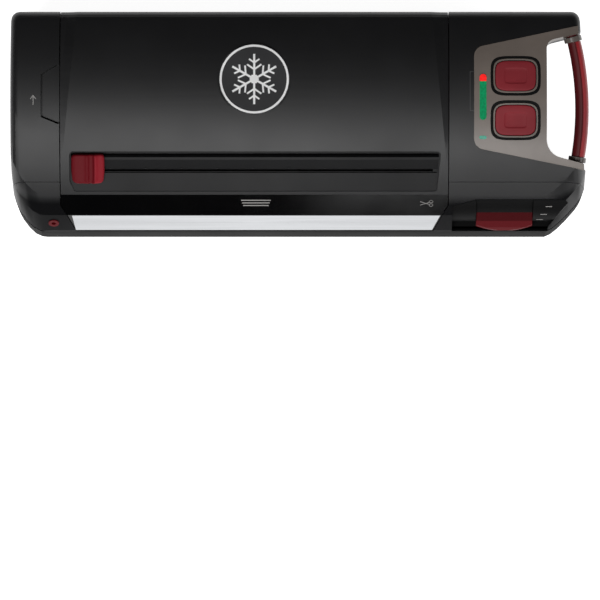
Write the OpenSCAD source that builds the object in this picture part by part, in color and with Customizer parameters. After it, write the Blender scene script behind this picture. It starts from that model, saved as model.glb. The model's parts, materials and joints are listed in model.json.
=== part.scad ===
// Countertop vacuum sealer with a hinged lid, a sliding film cutter, a latch lever,
// two push buttons, a carry handle and its vacuum pump.
// +X runs to the right, +Y to the rear and +Z up; the origin is at the bottom centre.

/* [Overall] */
// Width from the left pod to the outside of the carry handle
overall_w = 596; // [540:1:716]
// Depth from the front lip to the rear wall
overall_d = 220; // [212:1:264]
// Height of the crown above the table
overall_h = 120; // [116:1:144]
// Width of the plain pod at the left end
left_pod_w = 50.6; // [44:0.1:62]
// Width of the control pod at the right end, handle included
right_pod_w = 144.6; // [136:0.1:160]

/* [Shell] */
// Wall of every moulded shell
wall = 2.6; // [2:0.1:3.2]
// Height of the seam between the base housing and the pods
base_top_z = 42; // [40:0.5:43]
// Radius that rounds the outer ends of both pods
edge_r = 9; // [6:0.5:11]
// Gap between the lid and each pod
seam_gap = 0.9; // [0.7:0.1:1.4]

/* [Lid] */
// Diameter of the two lid hinge pins
hinge_pin_d = 6; // [4:0.5:7]
// Radius of the round badge
badge_r = 36.4; // [25:0.1:40]
// Height of the bright strip along the lid's front slope
strip_h = 25.2; // [18:0.1:25.4]

/* [Work deck] */
// Height of the front deck
deck_z = 46; // [45.5:0.1:46.5]
// Radius of the roll trough
trough_r = 40; // [34:0.5:41]
// Width of the foam gaskets
gasket_w = 5; // [4:0.5:6]
// Width of the heat seal bar
seal_bar_w = 8; // [6:0.5:9]

/* [Cutter] */
// Width of the sliding cutter knob, along its track
knob_w = 34; // [26:1:42]
// Width of the cutter slot
slot_w = 2.4; // [2:0.1:3]

/* [Controls] */
// Half width of each push button
button_a = 20.8; // [17:0.1:22]
// Half height of each push button
button_b = 15.6; // [13:0.1:16.5]
// Travel of each push button
button_travel = 1.5; // [1:0.1:2]
// Width of the latch lever
lever_w = 58; // [48:1:68]
// Radius of the hose bore in the accessory port
port_bore_r = 2.2; // [1.8:0.1:3]

/* [Pump] */
// Stroke of the pump piston
pump_stroke = 4; // [3:0.5:5]
// Bore radius of the pump cylinder
pump_bore_r = 10; // [8:0.5:11]

/* [Hidden] */
$fn = 48;

// ---- overall places ----
x_left = -overall_w / 2;
x_right = overall_w / 2;
handle_proud = 2;
body_right_x = x_right - handle_proud;
pod_l_x = x_left + left_pod_w;
pod_r_x = x_right - right_pod_w;
lid_x0 = pod_l_x + seam_gap;
lid_x1 = pod_r_x - seam_gap;
lid_mid_x = (lid_x0 + lid_x1) / 2;
y_rear = overall_d / 2;
y_front = -overall_d / 2;
foot_h = 3;
big = 900;

// ---- side profile: a long crown, then the fascia slope, the strip slope and the lip ----
crown_y = y_rear - 57.5;
crown_front_y = y_front + 32.5;
crown_front_z = 83.5;
crown_drop = overall_h - crown_front_z;
crown_run = crown_y - crown_front_y;
crown_r = (crown_run * crown_run + crown_drop * crown_drop) / (2 * crown_drop);
crown_c = [crown_y, overall_h - crown_r];
fascia_end = [y_front + 12.9, 69];
lip_end = [y_front + 0.9, 45];
lip_top_z = 33;
rear_r = 14;
seam_y = y_front + 44;
front_at_base_top = lip_end[0] + (y_front - lip_end[0]) * (lip_end[1] - base_top_z) / (lip_end[1] - lip_top_z);

function unit(v) = v / norm(v);
function inward(a, b) = let (u = unit(b - a)) [-u[1], u[0]];
function arc(c, r, a0, a1, n) = [for (i = [0:n]) let (a = a0 + (a1 - a0) * i / n) c + r * [cos(a), sin(a)]];
function reverse(p) = [for (i = [len(p) - 1:-1:0]) p[i]];
// Moves every side of a counter-clockwise outline inwards by d
function inset(p, d) = [for (i = [0:len(p) - 1])
    let (a = p[(i + len(p) - 1) % len(p)], b = p[i], c = p[(i + 1) % len(p)],
        m = inward(a, b), n = inward(b, c)) b + (m + n) * d / (1 + m * n)];
// Replaces each corner by an arc of its own radius
function round_corners(p, r, n = 6) = [for (i = [0:len(p) - 1])
    let (b = p[i], u = unit(p[(i + len(p) - 1) % len(p)] - b), v = unit(p[(i + 1) % len(p)] - b),
        half = acos(u * v) / 2, c = b + unit(u + v) * r[i] / sin(half),
        s = b + u * r[i] / tan(half) - c, e = b + v * r[i] / tan(half) - c)
    for (k = [0:r[i] == 0 ? 0 : n]) r[i] == 0 ? b : c + r[i] * unit(s * (1 - k / n) + e * k / n)];
// Band of thickness t under an open line of points
function line_normal(p, i) = let (a = p[max(i - 1, 0)], b = p[i], c = p[min(i + 1, len(p) - 1)],
    m = i == 0 ? inward(b, c) : inward(a, b), n = i == len(p) - 1 ? m : inward(b, c)) (m + n) / (1 + m * n);
function shifted(p, t) = [for (i = [0:len(p) - 1]) p[i] + line_normal(p, i) * t];
function band(p, t) = concat(p, reverse(shifted(p, t)));
function squircle(a, b, n = 4.2, count = 48) = [for (i = [0:count - 1]) let (t = 360 * i / count)
    [a * sign(cos(t)) * pow(abs(cos(t)), 2 / n), b * sign(sin(t)) * pow(abs(sin(t)), 2 / n)]];

function crown_z(y) = crown_c[1] + sqrt(crown_r * crown_r - pow(y - crown_y, 2));
function crown_angle(y) = asin((crown_y - y) / crown_r);
function rear_fillet_c() = let (y = y_rear - rear_r)
    [y, crown_c[1] + sqrt(pow(crown_r - rear_r, 2) - pow(y - crown_y, 2))];
function crown_edge_angle() = let (c = rear_fillet_c() - crown_c) atan2(c[1], c[0]);
// Outer side profile above floor_z, with its front set back by f
function outline(f = 0, floor_z = base_top_z) = let (yf = crown_front_y + f, zf = crown_z(yf),
        lift = (zf - crown_front_z) * 0.6)
    concat([[front_at_base_top + f, floor_z], [y_rear, floor_z]],
        arc(rear_fillet_c(), rear_r, 0, crown_edge_angle(), 5),
        [for (i = [1:20]) let (a = crown_edge_angle() + (atan2(zf - crown_c[1], yf - crown_y)
            - crown_edge_angle()) * i / 20) crown_c + crown_r * [cos(a), sin(a)]],
        [[fascia_end[0] + f, fascia_end[1] + lift], [lip_end[0] + f, lip_end[1]]]);
module loft(rings) {
    n = len(rings[0]);
    m = len(rings);
    polyhedron(points = [for (r = rings) for (p = r) p],
        faces = concat([[for (j = [0:n - 1]) j]], [[for (j = [n - 1:-1:0]) (m - 1) * n + j]],
            [for (i = [0:m - 2]) for (j = [0:n - 1]) let (k = (j + 1) % n)
                [i * n + j, (i + 1) * n + j, (i + 1) * n + k, i * n + k]]),
        convexity = 8);
}
// Extrudes a (y, z) outline from x0 to x1
module along_x(x0, x1, points) translate([x0, 0, 0]) rotate([90, 0, 90]) linear_extrude(x1 - x0)
    polygon(points);
module x_rod(x0, x1, y, z, r) translate([x0, y, z]) rotate([0, 90, 0]) cylinder(r = r, h = x1 - x0);
module box(lo, hi) translate(lo) cube(hi - lo);
// Puts its children on the crown at x and y, with z along the crown's normal
module on_crown(x, y, rise = 0) translate([x, crown_y, crown_c[1]])
    rotate([crown_angle(y), 0, 0]) translate([0, 0, crown_r + rise]) children();
// The shell layer between two depths under the crown
module crown_layer(rise, depth) difference() {
    x_rod(-big / 2, big / 2, crown_y, crown_c[1], crown_r + rise, $fn = 360);
    x_rod(-big, big, crown_y, crown_c[1], crown_r - depth, $fn = 360);
}

// ---- pods ----
corner_back = [35, 40];
corner_len = [34, 41];
corner_power = [2, 1.35];
end_taper = 7.6 / 175;
taper_y = y_front + 42;
function side_i(side) = side < 0 ? 0 : 1;
function end_x(side) = side < 0 ? x_left : body_right_x;
function pod_w(side) = side < 0 ? pod_l_x - x_left : body_right_x - pod_r_x;
function edge_d(t, r) = t < r ? r - sqrt(r * r - (r - t) * (r - t)) : 0;
function setback(side, t) = let (i = side_i(side)) t < corner_len[i]
    ? corner_back[i] * pow(1 - t / corner_len[i], corner_power[i]) : 0;
function ring_steps(side, g) = concat([for (a = [0:22.5:90]) (edge_r - g) * (1 - cos(a))],
    [for (k = [0.45, 0.65, 0.85, 1]) k * corner_len[side_i(side)]]);
function placed(side, prof, t, g, fixed, fixed_z) = let (x = end_x(side) - side * (t + g),
        w = side > 0 ? end_taper * (1 - (t + g) / pod_w(side)) : 0)
    [for (i = [0:len(prof) - 1]) let (p = prof[i], z = search(i, fixed) != [] ? fixed_z : p[1])
        [x - w * max(0, p[0] - taper_y), p[0], z]];
function pod_ring(side, t, g, floor_z) =
    placed(side, inset(outline(setback(side, t + g), base_top_z), g + edge_d(t, edge_r - g)), t, g, [0, 1],
        floor_z);
function pod_rings(side, g, floor_z, steps) = [for (t = side < 0 ? steps : reverse(steps))
    pod_ring(side, t, g, floor_z)];
// Whole pod, or its cavity where g is the wall
module pod_form(side, g = 0, floor_z = base_top_z)
    loft(pod_rings(side, g, floor_z, concat(ring_steps(side, g), [pod_w(side) - 2 * g])));

// Corner of the pod that wraps in front of the lid, seen from above
nose_w = 13.6;
nose_y = y_front + 22;
module nose_prism(side, grow = 0) {
    x = side < 0 ? pod_l_x : pod_r_x;
    a = [x, nose_y];
    b = [x - side * nose_w, y_front + 2.5];
    u = unit(b - a);
    n = -side * [-u[1], u[0]];
    p = a - 8 * u + n * grow;
    q = b + 20 * u + n * grow;
    translate([0, 0, -1]) linear_extrude(big) polygon([p, q, [x + side * 12, q[1]], [x + side * 12, p[1]]]);
}

hinge_y = y_rear - 10;
hinge_z = 62;
hinge_r = hinge_pin_d / 2;
hinge_boss_r = hinge_r + 4;
pod_boss_l = 8;
module pod_hinge_boss(side) {
    x = side < 0 ? pod_l_x - pod_boss_l : pod_r_x;
    x_rod(x, x + pod_boss_l, hinge_y, hinge_z, hinge_boss_r);
}
module hinge_bore(r = hinge_r) x_rod(pod_l_x - pod_boss_l, pod_r_x + pod_boss_l, hinge_y, hinge_z, r);

// Finger recess beside the lid on the left pod
recess_depth = 6;
recess_y = [crown_y - 0.9, crown_y - 11.5, crown_y - 55, crown_y - 61.6];
module finger_recess(grow = 0) intersection() {
    crown_layer(20, recess_depth + grow);
    translate([0, 0, 60]) linear_extrude(100) polygon([[pod_l_x + 1, recess_y[0] + grow],
        [pod_l_x - 2.3, recess_y[0] + grow], [pod_l_x - 18.8 - grow, recess_y[1] + grow],
        [pod_l_x - 18.8 - grow, recess_y[2] - grow], [pod_l_x - 2.3, recess_y[3] - grow],
        [pod_l_x + 1, recess_y[3] - grow]]);
}

module left_pod_cover() color([0.06, 0.06, 0.065]) difference() {
    union() {
        difference() {
            pod_form(-1);
            difference() {
                pod_form(-1, wall, base_top_z - 1);
                finger_recess(wall);
            }
        }
        pod_hinge_boss(-1);
    }
    box([x_left - 1, y_front - 9, 0], [pod_l_x + 20, seam_y + 0.2, 200]);
    finger_recess();
    hinge_bore();
}

// ---- accessory port on the left front slope ----
slope_a = atan2(fascia_end[1] - lip_end[1], fascia_end[0] - lip_end[0]);
port_x = pod_l_x - 7.5;
port_share = 0.5;
port_ring_r = 5.4;
port_l = 14;
// Frame on the strip slope, z along its outward normal, at a share of the way up
module on_slope(x, share, rise = 0) translate([x, lip_end[0] + (fascia_end[0] - lip_end[0]) * share,
    lip_end[1] + (fascia_end[1] - lip_end[1]) * share]) rotate([slope_a, 0, 0]) translate([0, 0, rise])
        children();
module port_seat(grow) on_slope(port_x, port_share, -port_l) cylinder(r = port_ring_r - 1.2 + grow,
    h = port_l + 2);
module accessory_port() color([0.5, 0.05, 0.07]) difference() {
    union() {
        on_slope(port_x, port_share, -port_l) cylinder(r = port_ring_r - 1.2, h = port_l);
        on_slope(port_x, port_share, 0) cylinder(r = port_ring_r, h = 1);
    }
    on_slope(port_x, port_share, -port_l - 1) cylinder(r = port_bore_r, h = port_l + 3);
}

module left_front_cap() color([0.03, 0.03, 0.035]) difference() {
    union() {
        pod_form(-1);
        intersection() {
            along_x(pod_l_x - 1, pod_l_x + nose_w + 2, outline());
            nose_prism(-1);
        }
    }
    difference() {
        pod_form(-1, wall, base_top_z - 1);
        // a land that carries the port, and the latch bearing
        on_slope(port_x, port_share, -wall - 3) cylinder(r = port_ring_r + 3, h = 20);
        latch_boss(pod_l_x - latch_boss_l);
    }
    latch_bore();
    box([x_left - 1, seam_y - 0.2, 0], [pod_l_x + 20, y_rear + 9, 200]);
    port_seat(0);
}

// ---- control pod ----
notch_x = body_right_x - 42.5;
notch_corners = [[notch_x, crown_y + 23.5], [notch_x, crown_y - 91], [x_right + 12, crown_y - 106],
    [x_right + 12, crown_y + 38]];
horn_under_z = 84;
panel_depth = 2.7;
panel_rise = 0.8;
panel_floor = 3.1;
skirt_t = 2.6;
skirt_h = 11;
module notch(grow = 0) translate([0, 0, -1]) linear_extrude(big)
    polygon(inset(round_corners(notch_corners, [10, 18, 0, 0]), -grow));
module under_horn(grow = 0) box([notch_x - grow, notch_corners[1][1] - grow - 2, -1],
    [x_right + 20, y_rear + 20, horn_under_z + grow]);
panel_x = x_right - 119.2;
panel_corners = [[panel_x, crown_y + 16.4], [panel_x, crown_y - 85.2], [x_right + 5, crown_y - 109],
    [x_right + 5, crown_y + 43.7]];
module panel_plan() translate([0, 0, 40]) linear_extrude(120)
    polygon(round_corners(panel_corners, [11, 11, 0, 0]));
// Everything that the control panel fills, skirt included
module panel_form(gap = 0) {
    intersection() {
        crown_layer(panel_rise, panel_depth);
        difference() {
            panel_plan();
            notch();
        }
        panel_end();
    }
    intersection() {
        crown_layer(0, skirt_h);
        panel_plan();
        difference() {
            notch(skirt_t + gap);
            notch();
        }
        panel_end();
    }
}
// Keeps the panel short of the rounded right end
module panel_end() linear_extrude(200) polygon([[0, -200], [body_right_x - 3, -200],
    [body_right_x - 3, taper_y],
    [body_right_x - 3 - end_taper * 200, taper_y + 200], [0, taper_y + 200]]);

button_x = x_right - 76.6;
button_pitch = 45.6;
seal_button_y = crown_y - 13;
button_gap = 0.5;
ring_t = 1.7;
gasket_t = 2.8;
module on_button(i, rise = 0) translate([button_x, crown_y, crown_c[1]])
    rotate([crown_angle(seal_button_y) + i * button_pitch / crown_r * 180 / PI, 0, 0])
    translate([0, 0, crown_r + rise]) children();
module button_prism(grow, h) linear_extrude(h) polygon(squircle(button_a + grow, button_b + grow));
button_hole = button_gap + ring_t + gasket_t;
lens_x = x_right - 110.1;
lens_r = 3.5;
lens_y0 = crown_y - 11.1;
lens_y1 = crown_y - 58.2;
lens_split = 7.5;
closed_y = crown_y - 75;
// Slotted strip on the crown from y0 to y1
module crown_slot(x, y0, y1, r, h0, h1) on_crown(x, (y0 + y1) / 2, h0) {
    run = (y0 - y1) / 2 - r;
    linear_extrude(h1 - h0) {
        translate([-r, -run]) square([2 * r, 2 * run]);
        for (s = [-1, 1]) translate([0, s * run]) circle(r = r);
    }
}
module lens_slot(grow, h0, h1) crown_slot(lens_x, lens_y0 + grow, lens_y1 - grow, lens_r + grow, h0, h1);
module closed_slot(grow, h0, h1) on_crown(lens_x, closed_y, h0) linear_extrude(h1 - h0) {
    square([2 * (2 + grow), 2 * (1.8 + grow)], center = true);
    for (s = [-1, 1]) translate([2 * s, 0]) circle(r = 1.8 + grow);
}
module panel_holes(grow = 0) {
    for (i = [0, 1]) on_button(i, -20) button_prism(button_hole + grow, 30);
    lens_slot(grow, -20, 8);
    closed_slot(grow, -20, 8);
}

// Carry handle: an oval bar on a wide arc, tilted to follow the crown
handle_r = 300;
handle_a = 7.2;
handle_b = 8.8;
handle_y = crown_y - 48.5;
handle_drop = 24;
handle_ends = [-11.8, 16.2];
collar_a = [1.6, 2.6];
function oval(a, b, n = 28) = [for (i = [0:n - 1]) [a * cos(360 * i / n), b * sin(360 * i / n)]];
module on_handle() on_crown(x_right - 0.4 - handle_a - handle_r, handle_y, -handle_drop) children();
module handle_sweep(points, a0, a1) on_handle() rotate([0, 0, a0])
    rotate_extrude(angle = a1 - a0, $fn = 200)
    translate([handle_r, 0]) polygon(points);
module handle_bar(grow) handle_sweep(oval(handle_a + grow, handle_b + grow), handle_ends[0] - 0.3,
    handle_ends[1] + 0.3);

module handle_core() color([0.22, 0.03, 0.04]) handle_sweep(oval(handle_a - 0.6, handle_b - 0.6),
    handle_ends[0], handle_ends[1]);
module handle_grip() color([0.62, 0.07, 0.09]) intersection() {
    notch(-0.2);
    difference() {
        handle_sweep(oval(handle_a + 0.4, handle_b + 0.4), handle_ends[0] + collar_a[1] + 0.1,
            handle_ends[1] - collar_a[1] - 0.1);
        handle_sweep(oval(handle_a - 0.6, handle_b - 0.6), handle_ends[0] - 5, handle_ends[1] + 5);
    }
    handle_sweep([[1.4, -20], [20, -20], [20, 20], [1.4, 20]], handle_ends[0] - 1, handle_ends[1] + 1);
}
module handle_collars() color([0.3, 0.28, 0.27]) difference() {
    union() {
        handle_sweep(oval(handle_a + 2, handle_b + 2), handle_ends[0] + collar_a[0],
            handle_ends[0] + collar_a[1]);
        handle_sweep(oval(handle_a + 2, handle_b + 2), handle_ends[1] - collar_a[1],
            handle_ends[1] - collar_a[0]);
    }
    handle_sweep(oval(handle_a - 0.6, handle_b - 0.6), handle_ends[0] - 2, handle_ends[1] + 2);
    // the collars end where the horns begin
    collar_ends();
}
module collar_ends() difference() {
    on_handle() translate([handle_r, 0, 0]) cube([80, 400, 80], center = true);
    notch(0);
}

// Bed that the control panel lies in
module panel_bed() difference() {
    panel_plan();
    x_rod(-big, big, crown_y, crown_c[1], crown_r - panel_depth, $fn = 360);
}
module right_pod_cover() color([0.06, 0.06, 0.065]) difference() {
    union() {
        difference() {
            pod_form(1);
            difference() {
                intersection() {
                    pod_form(1, wall, base_top_z - 1);
                    x_rod(-big, big, crown_y, crown_c[1], crown_r - panel_depth - panel_floor, $fn = 360);
                }
                notch(wall + skirt_t);
                under_horn(wall);
            }
        }
        pod_hinge_boss(1);
    }
    box([pod_r_x - 20, y_front - 9, 0], [x_right + 9, seam_y + 0.2, 200]);
    notch(skirt_t);
    under_horn();
    panel_bed();
    panel_holes();
    hinge_bore();
    handle_bar(0);
}

module control_panel() color([0.44, 0.4, 0.37]) difference() {
    panel_form();
    panel_holes();
    handle_bar(0);
}
module button_gaskets() color([0.02, 0.02, 0.02]) for (i = [0, 1]) on_button(i, -panel_depth - 2)
    difference() {
    button_prism(button_hole, panel_depth + 2 + 0.3);
    translate([0, 0, -1]) button_prism(button_gap + ring_t, 30);
}
module button_rings() color([0.44, 0.4, 0.37]) for (i = [0, 1]) on_button(i, -panel_depth - 2)
    difference() {
    button_prism(button_gap + ring_t, panel_depth + 2 + 1.4);
    translate([0, 0, -1]) button_prism(button_gap, 30);
}
button_rise = 1.2;
button_depth = 8;
stem_r = 3;
stem_end = -15.6;
module push_button(i) color([0.45, 0.09, 0.11]) on_button(i) {
    difference() {
        union() {
            translate([0, 0, -button_depth]) button_prism(0, button_depth + button_rise - 0.5);
            translate([0, 0, button_rise - 0.5]) button_prism(-1.2, 0.5);
        }
        // dished centre pad
        translate([0, 0, button_rise - 0.6]) linear_extrude(5) square([22, 15], center = true);
        translate([0, 0, -button_depth - 1]) button_prism(-2.2, button_depth - 1.4);
    }
    translate([0, 0, stem_end]) cylinder(r = stem_r, h = -stem_end - 2);
}
module seal_button() push_button(0);
module vacuum_button() push_button(1);
lens_depth = 8;
module sealing_lens() color([0.8, 0.05, 0.04]) intersection() {
    lens_slot(0, -lens_depth, 1);
    on_crown(lens_x, lens_y0 - lens_split, 0) translate([-20, 0.1, -60]) cube([40, 200, 120]);
}
module progress_lens() color([0.0, 0.4, 0.2]) intersection() {
    lens_slot(0, -lens_depth, 1);
    on_crown(lens_x, lens_y0 - lens_split, 0) translate([-20, -200, -60]) cube([40, 200, 120]);
}
module closed_lens() color([0.0, 0.45, 0.28]) closed_slot(0, -lens_depth, 1);

// ---- latch lever, drum and bail, all turning about one axis ----
latch_y = y_front + 36;
latch_z = 50;
drum_r = 22.7;
plate_r = 26;
plate_in_r = 23;
lever_x = x_right - 86.5;
lever_nose = y_front + 1;
window_a = [-24, 73];
plate_x0 = pod_r_x + 4;
plate_x1 = body_right_x - 13;
latch_shaft_r = 3;
fit_gap = 0.06;
latch_boss_l = 5;
plate_top_y = y_front + 28;
lever_play = 0.5;
function at_latch(r, a) = [latch_y - r * cos(a), latch_z + r * sin(a)];
// Sector of a tube about the latch axis, from angle a0 to a1 above the front horizontal
module latch_sector(x0, x1, r0, r1, a0, a1, n = 16) translate([x0, latch_y, latch_z]) rotate([90, 0, 90])
    rotate([0, 0, 180 - a1]) linear_extrude(x1 - x0) intersection() {
        difference() {
            circle(r = r1, $fn = 96);
            if (r0 > 0) circle(r = r0, $fn = 96);
        }
        polygon(concat([[0, 0]], [for (k = [0:n]) let (a = (a1 - a0) * k / n) 2 * r1 * [cos(a), sin(a)]]));
    }
// Space that the latch pocket takes out of the cap, seen from above
module latch_pocket(gap = 0) translate([0, 0, base_top_z - 1]) linear_extrude(120) polygon(inset(
    [[plate_x0, y_front - 9], [plate_x1 - 26, y_front - 9], [plate_x1 - 26, y_front + 4],
        [plate_x1 - 6, plate_top_y - 3],
    [plate_x1 - 9, plate_top_y], [plate_x0 + 26, plate_top_y], [plate_x0, plate_top_y - 6]], gap));
module latch_plate() color([0.01, 0.01, 0.01]) union() {
    intersection() {
        difference() {
            latch_sector(plate_x0, plate_x1, plate_in_r, plate_r, -19, 80, 20);
            latch_sector(lever_x - lever_w / 2 - lever_play, lever_x + lever_w / 2 + lever_play, 10, 40,
                window_a[0], window_a[1]);
        }
        latch_pocket(0.15);
        box([0, -big, base_top_z + 0.05], [big, 0, 200]);
    }
    // right end wall
    intersection() {
        difference() {
            latch_pocket(0.15);
            latch_pocket(0.15 + 2);
            box([0, -big, 0], [lever_x + lever_w / 2 + 6, big, 200]);
        }
        x_rod(0, big, latch_y, latch_z, plate_r);
        box([0, -big, base_top_z + 0.05], [big, big, 200]);
    }
    intersection() {
        along_x(plate_x0, plate_x1, [[y_front + 5.4, base_top_z + 0.05], [y_front + 12, base_top_z + 0.05],
            [y_front + 12, base_top_z + 1.4], [y_front + 5.4, base_top_z + 1.4]]);
        latch_pocket(0.15);
    }
}
module right_front_cap() color([0.05, 0.05, 0.055]) difference() {
    union() {
        pod_form(1);
        intersection() {
            along_x(pod_r_x - nose_w - 2, pod_r_x + 1, outline());
            nose_prism(1);
        }
    }
    difference() {
        pod_form(1, wall, base_top_z - 1);
        // walls round the pocket, clear of the curved plate
        difference() {
            latch_pocket(-wall);
            x_rod(0, big, latch_y, latch_z, plate_r + 0.1);
        }
        latch_boss(pod_r_x);
    }
    latch_pocket();
    latch_bore();
    box([pod_r_x - 20, seam_y - 0.2, 0], [x_right + 9, y_rear + 9, 200]);
}
module latch_boss(x) x_rod(x, x + latch_boss_l, latch_y, latch_z, latch_shaft_r + 3.5);
module latch_bore() x_rod(pod_l_x - latch_boss_l - 1, pod_r_x + latch_boss_l + 1, latch_y, latch_z,
    latch_shaft_r + fit_gap);
lever_top_a = 43;
lever_low_a = -17;
lever_profile = [at_latch(drum_r - 1, lever_top_a), [lever_nose + 2.2, latch_z + 1.5],
    [lever_nose - 0.4, latch_z - 3],
    [lever_nose, latch_z - 6], at_latch(drum_r - 1, lever_low_a)];
module latch_lever() color([0.4, 0.03, 0.05]) intersection() {
    along_x(lever_x - lever_w / 2, lever_x + lever_w / 2, lever_profile);
    // nose bowed when seen from above
    translate([lever_x, lever_nose + 85, 0]) cylinder(r = 85.5, h = 200, $fn = 240);
}
drum_sweep = [-60, 84];
module latch_drum() color([0.02, 0.02, 0.02]) difference() {
    union() {
        latch_sector(lever_x - lever_w / 2, lever_x + lever_w / 2, drum_r - 3, drum_r, drum_sweep[0],
            drum_sweep[1], 24);
        for (s = [-1, 1]) translate([s * (lever_w / 2 - 4), 0, 0])
            latch_sector(lever_x - 2, lever_x + 2, 0, drum_r - 1, drum_sweep[0], drum_sweep[1], 24);
        x_rod(lever_x - lever_w / 2, lever_x + lever_w / 2, latch_y, latch_z, latch_shaft_r + 3);
    }
    x_rod(0, big, latch_y, latch_z, latch_shaft_r);
    along_x(lever_x - lever_w / 2 - 1, lever_x + lever_w / 2 + 1, lever_profile);
}
bail_r = 3;
bail_drop = 31;
hook_w = 3;
hook_x = [lid_x0 + 7, lid_x1 - 7 - hook_w];
hook_half = 4.5;
hook_nose = 7;
module latch_shaft() color([0.7, 0.7, 0.72]) {
    x_rod(pod_l_x - latch_boss_l, hook_x[0] + hook_w, latch_y, latch_z, latch_shaft_r);
    x_rod(hook_x[1], lever_x + lever_w / 2, latch_y, latch_z, latch_shaft_r);
}
module latch_bail() color([0.7, 0.7, 0.72])
    x_rod(hook_x[0] - 1, hook_x[1] + hook_w + 1, latch_y, latch_z - bail_drop, bail_r);
// Hook plates: each turns with the shaft, carries the bail below and has a nose above
module latch_hooks() color([0.62, 0.62, 0.65]) for (x = hook_x) difference() {
    union() {
        x_rod(x, x + hook_w, latch_y, latch_z, hook_half);
        x_rod(x, x + hook_w, latch_y, latch_z - bail_drop, hook_half + 0.5);
        along_x(x, x + hook_w, [for (p = [[-hook_half, -bail_drop], [hook_half, -bail_drop], [hook_half, 0],
            [hook_half - 2, hook_half + 1], [-hook_nose, hook_half + 1], [-hook_nose, 1.5],
                [-hook_half, 0]]) [latch_y + p[0], latch_z + p[1]]]);
    }
    x_rod(-big, big, latch_y, latch_z - bail_drop, bail_r);
    x_rod(-big, big, latch_y, latch_z, latch_shaft_r);
}
// Room for the hooks and the shaft in the lid
module hook_windows() for (x = hook_x) box([x - 1.5, latch_y - hook_nose - 6.5, 0],
    [x + hook_w + 1.5, latch_y + 9, latch_z + hook_half + 3]);
module shaft_notches() box([lid_x0 - 1, latch_y - latch_shaft_r - 1.5, 0],
    [lid_x1 + 1, latch_y + latch_shaft_r + 1.5, latch_z + latch_shaft_r + 1.5]);

// ---- work deck ----
deck_t = 6;
trough_c = [y_rear - 70, 60];
ridge_y = [y_front + 61, y_front + 63, y_front + 75, y_front + 81];
ridge_z = 70;
shelf_z = 44;
deck_clear = 1;
deck_x0 = lid_x0;
deck_x1 = lid_x1;
deck_front_y = y_front + 6.5;
deck_flange_y = y_front + 3.9;
function trough_arc(r, n = 28) = arc(trough_c, r, 180, 360, n);
deck_line = concat([[deck_front_y, deck_z], [ridge_y[0], deck_z], [ridge_y[1], ridge_z],
    [ridge_y[2], ridge_z],
    [ridge_y[3], 62], [trough_c[0] - trough_r - 4, trough_c[1]]], trough_arc(trough_r));
shelf_t = 2.4;
shelf_drop = trough_c[1] - shelf_z + shelf_t / 2;
shelf_y0 = trough_c[0] + sqrt(pow(trough_r + shelf_t / 2, 2) - shelf_drop * shelf_drop);
module deck_skin() {
    thick = shifted([for (i = [1:len(deck_line) - 1]) deck_line[i]], -shelf_t);
    along_x(deck_x0, deck_x1, concat([[deck_flange_y, deck_z - deck_t], [ridge_y[0] + 1, deck_z - deck_t]],
        thick, reverse(deck_line), [[deck_front_y, deck_z - 3], [deck_flange_y, deck_z - 3]]));
    // shelf behind the trough
    box([deck_x0, shelf_y0, shelf_z - shelf_t], [deck_x1, y_rear - wall - 0.4, shelf_z]);
}
chan_y = [y_front + 20.5, y_front + 58.5];
chan_x = [lid_x0 + 18, lid_x1 - 18];
tray_gap = 0.3;
bar_y = y_front + 14.2;
bar_x = [lid_x0 + 26, lid_x1 - 26];
module rounded_box(x0, x1, y0, y1, r) polygon(round_corners([[x0, y0], [x1, y0], [x1, y1], [x0, y1]],
    [r, r, r, r]));
module gasket_ring(grow, h) linear_extrude(h) difference() {
    rounded_box(chan_x[0] - grow, chan_x[1] + grow, chan_y[0] - grow, chan_y[1] + grow, 12);
    rounded_box(chan_x[0] + gasket_w + grow, chan_x[1] - gasket_w - grow, chan_y[0] + gasket_w + grow,
        chan_y[1] - gasket_w - grow, 8);
}
tray_x = [chan_x[0] + gasket_w + 4, chan_x[1] - gasket_w - 4];
tray_y = [chan_y[0] + gasket_w + 2.5, chan_y[1] - gasket_w - 2.5];
tray_depth = 13;
module work_deck() color([0.09, 0.09, 0.1]) difference() {
    union() {
        deck_skin();
        for (x = [deck_x0, deck_x1 - shelf_t]) intersection() {
            x_rod(x, x + shelf_t, trough_c[0], trough_c[1], trough_r + 1);
            box([-big, -big, 0], [big, big, trough_c[1]]);
        }
    }
    translate([0, 0, deck_z - 3]) gasket_ring(0, 10);
    translate([0, 0, deck_z - 20]) linear_extrude(40) rounded_box(tray_x[0] + 2, tray_x[1] - 2,
        tray_y[0] + 2, tray_y[1] - 2, 6);
    translate([0, 0, deck_z - 1.4]) linear_extrude(40)
        rounded_box(tray_x[0] - tray_gap, tray_x[1] + tray_gap,
        tray_y[0] - tray_gap, tray_y[1] + tray_gap, 7);
    box([bar_x[0], bar_y - seal_bar_w / 2, deck_z - 2.5], [bar_x[1], bar_y + seal_bar_w / 2, 60]);
    // cutter groove along the ridge
    box([track_x[0] - 4, groove_y - 2.8, ridge_z - 4.5], [track_x[1] + 4, groove_y + 2.8, 90]);
    for (x = hook_x) box([x - 1, latch_y - 17.5, 0], [x + hook_w + 1, latch_y + 7, 60]);
    nose_prism(-1, seam_gap);
    nose_prism(1, seam_gap);
}
module lower_gasket() color([0.12, 0.12, 0.12]) translate([0, 0, deck_z - 3]) gasket_ring(0, 5.8);
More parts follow.
